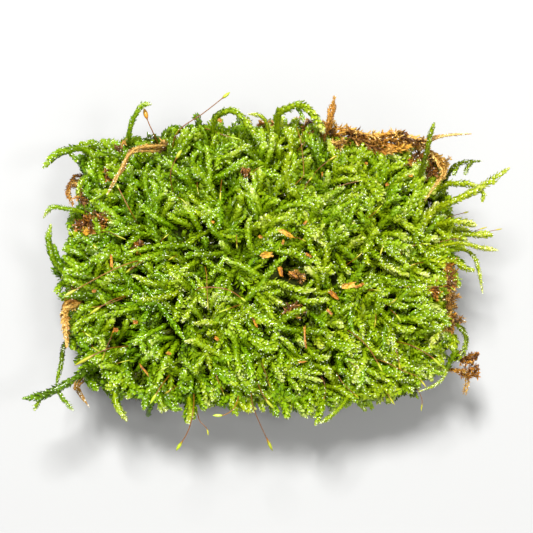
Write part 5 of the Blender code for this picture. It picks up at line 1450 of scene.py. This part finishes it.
def side_moss(living, dead, rng):
    """Shoots on the sides: brown and dead at the ground, green towards the top."""
    turn = rng.uniform(0, 2 * np.pi, SIDE_SHOOTS)
    level = rng.uniform(*SIDE_LEVELS, SIDE_SHOOTS) ** SIDE_CROWDING
    x, y = on_rim(turn, flare(level))
    out = outwards(x, y)
    along = np.stack([-out[:, 1], out[:, 0], np.zeros(SIDE_SHOOTS)], -1)
    along *= rng.choice((-1, 1), SIDE_SHOOTS)[:, None]
    start = np.stack([x, y, level * TOP], -1) - out * SIDE_ROOT
    length = rng.uniform(*SIDE_LENGTH, SIDE_SHOOTS)
    up = rng.uniform(*SIDE_CLIMB, SIDE_SHOOTS) * np.where(level < SIDE_FOOT, 0.6, 1)
    sideways = rng.uniform(*SIDE_SWING, SIDE_SHOOTS)
    points = [start]
    for share, leave in SIDE_WAY:
        step = along * (length * share * sideways)[:, None]
        step[:, 2] += length * share * up
        points.append(start + out * leave + step)
    control = np.stack(points, 1)
    ceiling = top_height(control[:, 1:, 0], control[:, 1:, 1]) + 1.0
    control[:, 1:, 2] = np.clip(control[:, 1:, 2], SIDE_LOWEST, np.maximum(ceiling, SIDE_LEAST))
    routes = through(held_inside(control, rng))
    green = level + rng.normal(0, 0.12, SIDE_SHOOTS) > SIDE_GREEN_FROM
    face = faces(SIDE_SHOOTS, rng, 0.2, out + (0, 0, 0.4))
    age = SIDE_AGE + SIDE_YOUNGER * level + rng.normal(0, 0.05, SIDE_SHOOTS)
    tone = tone_at(x, y, rng)
    right = x > 0
    for name, mine in (("moss_side_left", green & ~right), ("moss_side_right", green & right)):
        patches = clad(routes[mine], face[mine], SHADED, rng, age[mine], tone[mine])
        new_piece(name, patches, living, "living_moss", "moss_cushion")
    old = ~green
    patches = clad(routes[old], face[old], SHREDDED, rng, age[old] * 0.9, tone[old] * 0.8)
    new_piece("moss_side_old", patches, dead, "dead_moss_tan", "moss_cushion")


# Free shoots, dead strands and stalks

def free_moss(material, rng):
    """The long free shoots, with their side branches."""
    for name, (radius, points) in FREE_SHOOTS.items():
        tip_x, tip_y, _ = np.array(points[-1:]).T
        patches = []
        for number, way in enumerate([points, *BRANCHES.get(name, [])]):
            is_branch = number > 0
            age = rng.uniform(*FRESH_AGES)
            if name in OLDER_SHOOTS:
                age = OLDER_SHOOTS[name] + YOUNGER_BRANCHES * is_branch
            tone = tone_at(tip_x, tip_y, rng) + FREE_TONE
            size = BRANCH_SIZE if is_branch else radius / FULL_SHOOT
            face = faces(1, rng, 0.2)
            patches += clad(one_route(way), face, LIVING, rng, np.array([age]), tone, size)
        slot = "dark_moss" if name in DARK_SHOOTS else "living_moss"
        new_piece("leafy_" + name, patches, material, slot, "shoot_" + name)


def dead_moss(material, rng):
    """The dead strands, each of a few plies that stray more at its foot than at its tip."""
    for name, (radius, pale, taper, kind, points) in DEAD_STRANDS.items():
        habit = {**DEAD_HABITS[kind], "taper": taper}
        loose = np.linspace(*PLIES_STRAY, len(points))[:, None] * radius
        patches = []
        for _ in range(DEAD_PLIES):
            control = np.array([points], float)
            control += rng.normal(0, 1, control.shape) * loose
            age = rng.uniform(*DEAD_AGES, 1)
            tone = pale + rng.normal(0, 0.15, 1)
            face = any_faces(1, rng)
            patches += clad(through(control, FINE_PLACES), face, habit, rng, age, tone, radius * PLY_SIZE)
        slot = "dead_moss_tan" if "left" in name else "dead_moss_orange"
        new_piece("withered_" + name, patches, material, slot, name)


def dead_mat(material, rng):
    """The matted band along the back right edge: shredded strands that lie over one another."""
    line = one_route(BAND, BAND_PLACES)[0]
    at = rng.integers(*BAND_STARTS, BAND_STRANDS).clip(0)
    at[:len(BAND_JOINT)] = BAND_JOINT
    wide = np.interp(line[at, 0], *BAND_WIDTHS)[:, None]
    foot = line[at] + rng.normal(0, (0.8, 1, 0.6), (BAND_STRANDS, 3)) * wide
    ahead = unit(line[at + BAND_AIM] - line[at]) + rng.normal(0, 0.42, (BAND_STRANDS, 3)) * (1, 1, 0.5)
    reach = rng.uniform(*BAND_LENGTH, BAND_STRANDS)[:, None]
    reach[:len(BAND_JOINT)] = BAND_JOINT_REACH
    points = [foot]
    for share in (0.4, 0.75, 1.0):
        points.append(foot + ahead * reach * share + rng.normal(0, 0.35, foot.shape))
    control = np.stack(points, 1)
    control[..., 0] = np.clip(control[..., 0], *BAND_ENDS)
    front, back = (np.interp(control[..., 0], *side) for side in (BAND_FRONT, BAND_BACK))
    control[..., 1] = np.clip(control[..., 1], front, back)
    routes = through(control)
    age = rng.uniform(0.2, 0.95, BAND_STRANDS)
    tone = rng.uniform(0.0, 0.5, BAND_STRANDS)
    face = any_faces(BAND_STRANDS, rng)
    patches = []
    for habit, mine in ((STRAW, at % 2 == 0), (WITHERED, at % 2 == 1)):
        patches += clad(routes[mine], face[mine], habit, rng, age[mine], tone[mine], 0.85)
    new_piece("withered_band", patches, material, "dead_moss_orange", "dead_band_back_right")


def died_back(material, rng):
    """Small brown patches among the living shoots."""
    patches = []
    for x, y, radius, pale in DIED_BACK:
        count = int(4 + 4 * radius)
        height = float(lying_height(x, y, DIED_LEAST)) + DIED_RISE
        turn = rng.uniform(0, 2 * np.pi, count)
        away = np.stack([np.cos(turn), np.sin(turn), rng.uniform(-0.2, 0.2, count)], -1)
        foot = np.array((x, y, height)) + away * rng.uniform(-0.6, 0.3, (count, 1)) * radius
        control = np.stack([
            foot + away * radius * share + rng.normal(0, 0.25, foot.shape) for share in (0, 0.4, 0.8, 1.2)
        ], 1)
        age = rng.uniform(0.15, 0.6, count)
        tone = pale + rng.normal(0, 0.15, count)
        face = any_faces(count, rng)
        patches += clad(through(control, SHRED_PLACES), face, SHREDDED, rng, age, tone, 0.7)
    new_piece("withered_patches", patches, material, "dead_moss_orange", "moss_cushion")


def dead_fingers(material, rng):
    """The tuft at the front right corner: a knot of dead shoots with a stem and a pale leg."""
    hand = np.array(TUFT[-1], float)
    knot = np.array([TUFT_TIPS[number] for number in TUFT_KNOT]).mean(0)
    spread = rng.normal(0, 1, (TUFT_SHREDS, 3))
    foot = (hand + knot) / 2 + spread * (0.8, 1.2, 0.5)
    away = unit(foot - hand + rng.normal(0, 1.2, foot.shape))
    end = foot + away * rng.uniform(1.2, 2.6, (TUFT_SHREDS, 1))
    bend = (foot + end) / 2 + rng.normal(0, 0.4, foot.shape)
    control = np.clip(np.stack([foot, bend, end], 1), *TUFT_BOX)
    age = rng.uniform(0.25, 0.58, TUFT_SHREDS)
    tone = rng.uniform(0.0, 0.15, TUFT_SHREDS)
    face = any_faces(TUFT_SHREDS, rng)
    patches = clad(through(control, SHRED_PLACES), face, WITHERED, rng, age, tone, 0.55)
    leg_tip = np.array(TUFT_TIPS[TUFT_LEG])
    leg = [hand, (hand + leg_tip) / 2 + (0.5, 0, 0), leg_tip]
    for way, pale, size in ((TUFT, 0.2, 0.6), (leg, 0.7, 0.42)):
        routes = one_route(way, 19) + rng.normal(0, 0.25, (2, 1, 3))
        face = any_faces(2, rng)
        patches += clad(routes, face, WITHERED, rng, rng.uniform(0.4, 0.7, 2), np.full(2, pale), size)
    new_piece("withered_tuft", patches, material, "dead_moss_orange", "dead_tuft_front_right")


def stalk(points, thickness, tip_length, tip_radius, tone, rng):
    """A thin stalk with a slender tip that swells a little, as a patch."""
    route = one_route(points, STALK_PLACES)
    steps = np.linalg.norm(np.diff(route[0], axis=0), axis=-1)
    left = np.concatenate([np.cumsum(steps[::-1])[::-1], [0]])
    inside = np.clip(1 - left / tip_length, 0, 1)
    swell = np.sin(np.pi * np.clip(inside * 0.94 + 0.04, 0, 1)) ** 0.7 * (inside > 0)
    radii = np.maximum(thickness * (1 - 0.25 * (1 - left / left[0])), tip_radius * swell)
    radii[-1] = STALK_END
    age = (rng.uniform(*STALK_AGES) + 0.5 * np.clip(inside * 4, 0, 1))[None]
    return stems(route, radii[None], age, np.array([tone]), STALK_SIDES)


def stalks(material, rng):
    """The fruiting stalks that stand clear of the moss."""
    for name, (tip_length, tip_radius, points) in STALKS.items():
        foot_x, foot_y, _ = points[0]
        points = [(foot_x, foot_y, float(top_height(foot_x, foot_y)) - 1.0), *points[1:]]
        tone = RIPE_TONE if name == RIPE_STALK else rng.uniform(0, 0.25)
        patches = [stalk(points, STALK_RADIUS, tip_length, tip_radius, tone, rng)]
        new_piece("fine_" + name, patches, material, "fruiting_stalk", name)


def strands(material, rng):
    """Finer stalks that wind in and out of the upper shoots."""
    patches = []
    for way in STRANDS:
        rises = np.interp(np.linspace(0, 1, len(way)), *STRAND_RISES)
        points = [
            (x, y, float(lying_height(x, y, STRAND_LEAST)) + rise) for (x, y), rise in zip(way, rises)
        ]
        tone = rng.uniform(0, 0.5)
        tip_length = rng.uniform(1.2, 3)
        tip_radius = rng.uniform(0.12, 0.24)
        patches.append(stalk(points, STRAND_RADIUS, tip_length, tip_radius, tone, rng))
    new_piece("fine_strands", patches, material, "fruiting_stalk", "moss_cushion")


# Bark

def slip(sheet, middle, length, width, degrees):
    """A bent slip of bark with torn ends, added to a mesh."""
    made = bmesh.ops.create_grid(sheet, x_segments=10, y_segments=4, size=0.5)["verts"]
    for corner in made:
        x, y, _ = corner.co
        narrow = 1 - 0.9 * max(x, 0) ** 1.5 + 0.5 * noise.noise(Vector((x * 5, middle[0], y * 2)))
        torn = 0.4 * noise.noise(Vector((y * 7, middle[1], 3))) * abs(2 * x) ** 2
        bend = 0.5 * x * x + 0.6 * y * y + 0.5 * noise.noise(Vector((x * 3, y * 3, middle[0])))
        corner.co = Vector(((x + torn) * length, y * width * narrow, bend * width * 0.6)) * MM
    place = Matrix.Translation(Vector(middle) * MM) @ Matrix.Rotation(math.radians(degrees), 4, "Z")
    tilt = Matrix.Rotation(0.25 * math.sin(middle[0] * 9), 4, "Y") @ Matrix.Rotation(0.2, 4, "X")
    bmesh.ops.transform(sheet, matrix=place @ tilt, verts=made)


def bark_piece(name, slips, material, node):
    """Slips of bark with their thickness, as one piece."""
    sheet = bmesh.new()
    for one in slips:
        slip(sheet, *one)
    bmesh.ops.solidify(sheet, geom=sheet.faces[:], thickness=BARK_THICKNESS * MM)
    bmesh.ops.recalc_face_normals(sheet, faces=sheet.faces)
    mesh = bpy.data.meshes.new(name)
    sheet.to_mesh(mesh)
    sheet.free()
    mesh.materials.append(material)
    settle(placed(name, mesh), "bark", node)


def bark(slip_material, chip_material):
    """The slips that lie on the moss, each a piece, and all smaller chips as one."""
    for name, one in BARK.items():
        bark_piece("rough_" + name, [one], slip_material, name)
    chips = [
        ((x, y, float(lying_height(x, y, CHIP_LEAST)) + CHIP_RISE), *rest) for x, y, *rest in CHIPS
    ]
    bark_piece("small_chips", chips, chip_material, "moss_cushion")


# Stage

def floor():
    bpy.ops.mesh.primitive_plane_add(size=FLOOR_SIZE)
    plane = bpy.context.object
    plane.name = "floor"
    material, _, _ = new_material("floor", {"Base Color": FLOOR_GREY, "Roughness": 0.7})
    plane.data.materials.append(material)


def aimed(thing, place, backwards):
    """Puts a lamp or the camera in its place, with its back turned this way."""
    thing.location = place
    thing.rotation_euler = (-backwards).to_track_quat("-Z", "Y").to_euler()


def lamp(name, place, size, power):
    light = bpy.data.lights.new(name, "AREA")
    light.shape = "DISK"
    light.size = size
    light.energy = power
    aimed(placed(name, light), place, Vector(place) - Vector(LAMPS_AIM))


def light_and_camera():
    for name, (place, size, power) in LAMPS.items():
        lamp(name, place, size, power)
    scene = bpy.context.scene
    scene.world = bpy.data.worlds.new("studio")
    scene.world.use_nodes = True
    set_inputs(scene.world.node_tree.nodes["Background"], {"Color": (1, 1, 1, 1), "Strength": SKY_STRENGTH})
    camera = bpy.data.cameras.new("camera")
    camera.lens = LENS
    camera.sensor_width = SENSOR
    camera.clip_start = NEAREST_SEEN
    tilt = math.radians(CAMERA_ELEVATION)
    back = Vector((0, -math.cos(tilt), math.sin(tilt)))
    scene.camera = placed("camera", camera)
    aimed(scene.camera, Vector(AIM) + back * CAMERA_DISTANCE, back)
    scene.view_settings.view_transform = "Standard"


def main():
    rng = np.random.default_rng(SEED)
    noise.seed_set(SEED)  # without it noise_vector differs from run to run
    living, dead = living_material(), dead_material()
    moss_bed(bed_material())
    upper_moss(living, rng)
    chief_shoots(living, rng)
    rim_moss(living, rng)
    side_moss(living, dead, rng)
    free_moss(living, rng)
    dead_moss(dead, rng)
    dead_mat(dead, rng)
    died_back(dead, rng)
    dead_fingers(dead, rng)
    fruiting = stalk_material()
    stalks(fruiting, rng)
    strands(fruiting, rng)
    bark(bark_material("golden bark", GOLDEN_BARK), bark_material("brown bark", BROWN_BARK))
    floor()
    light_and_camera()


main()
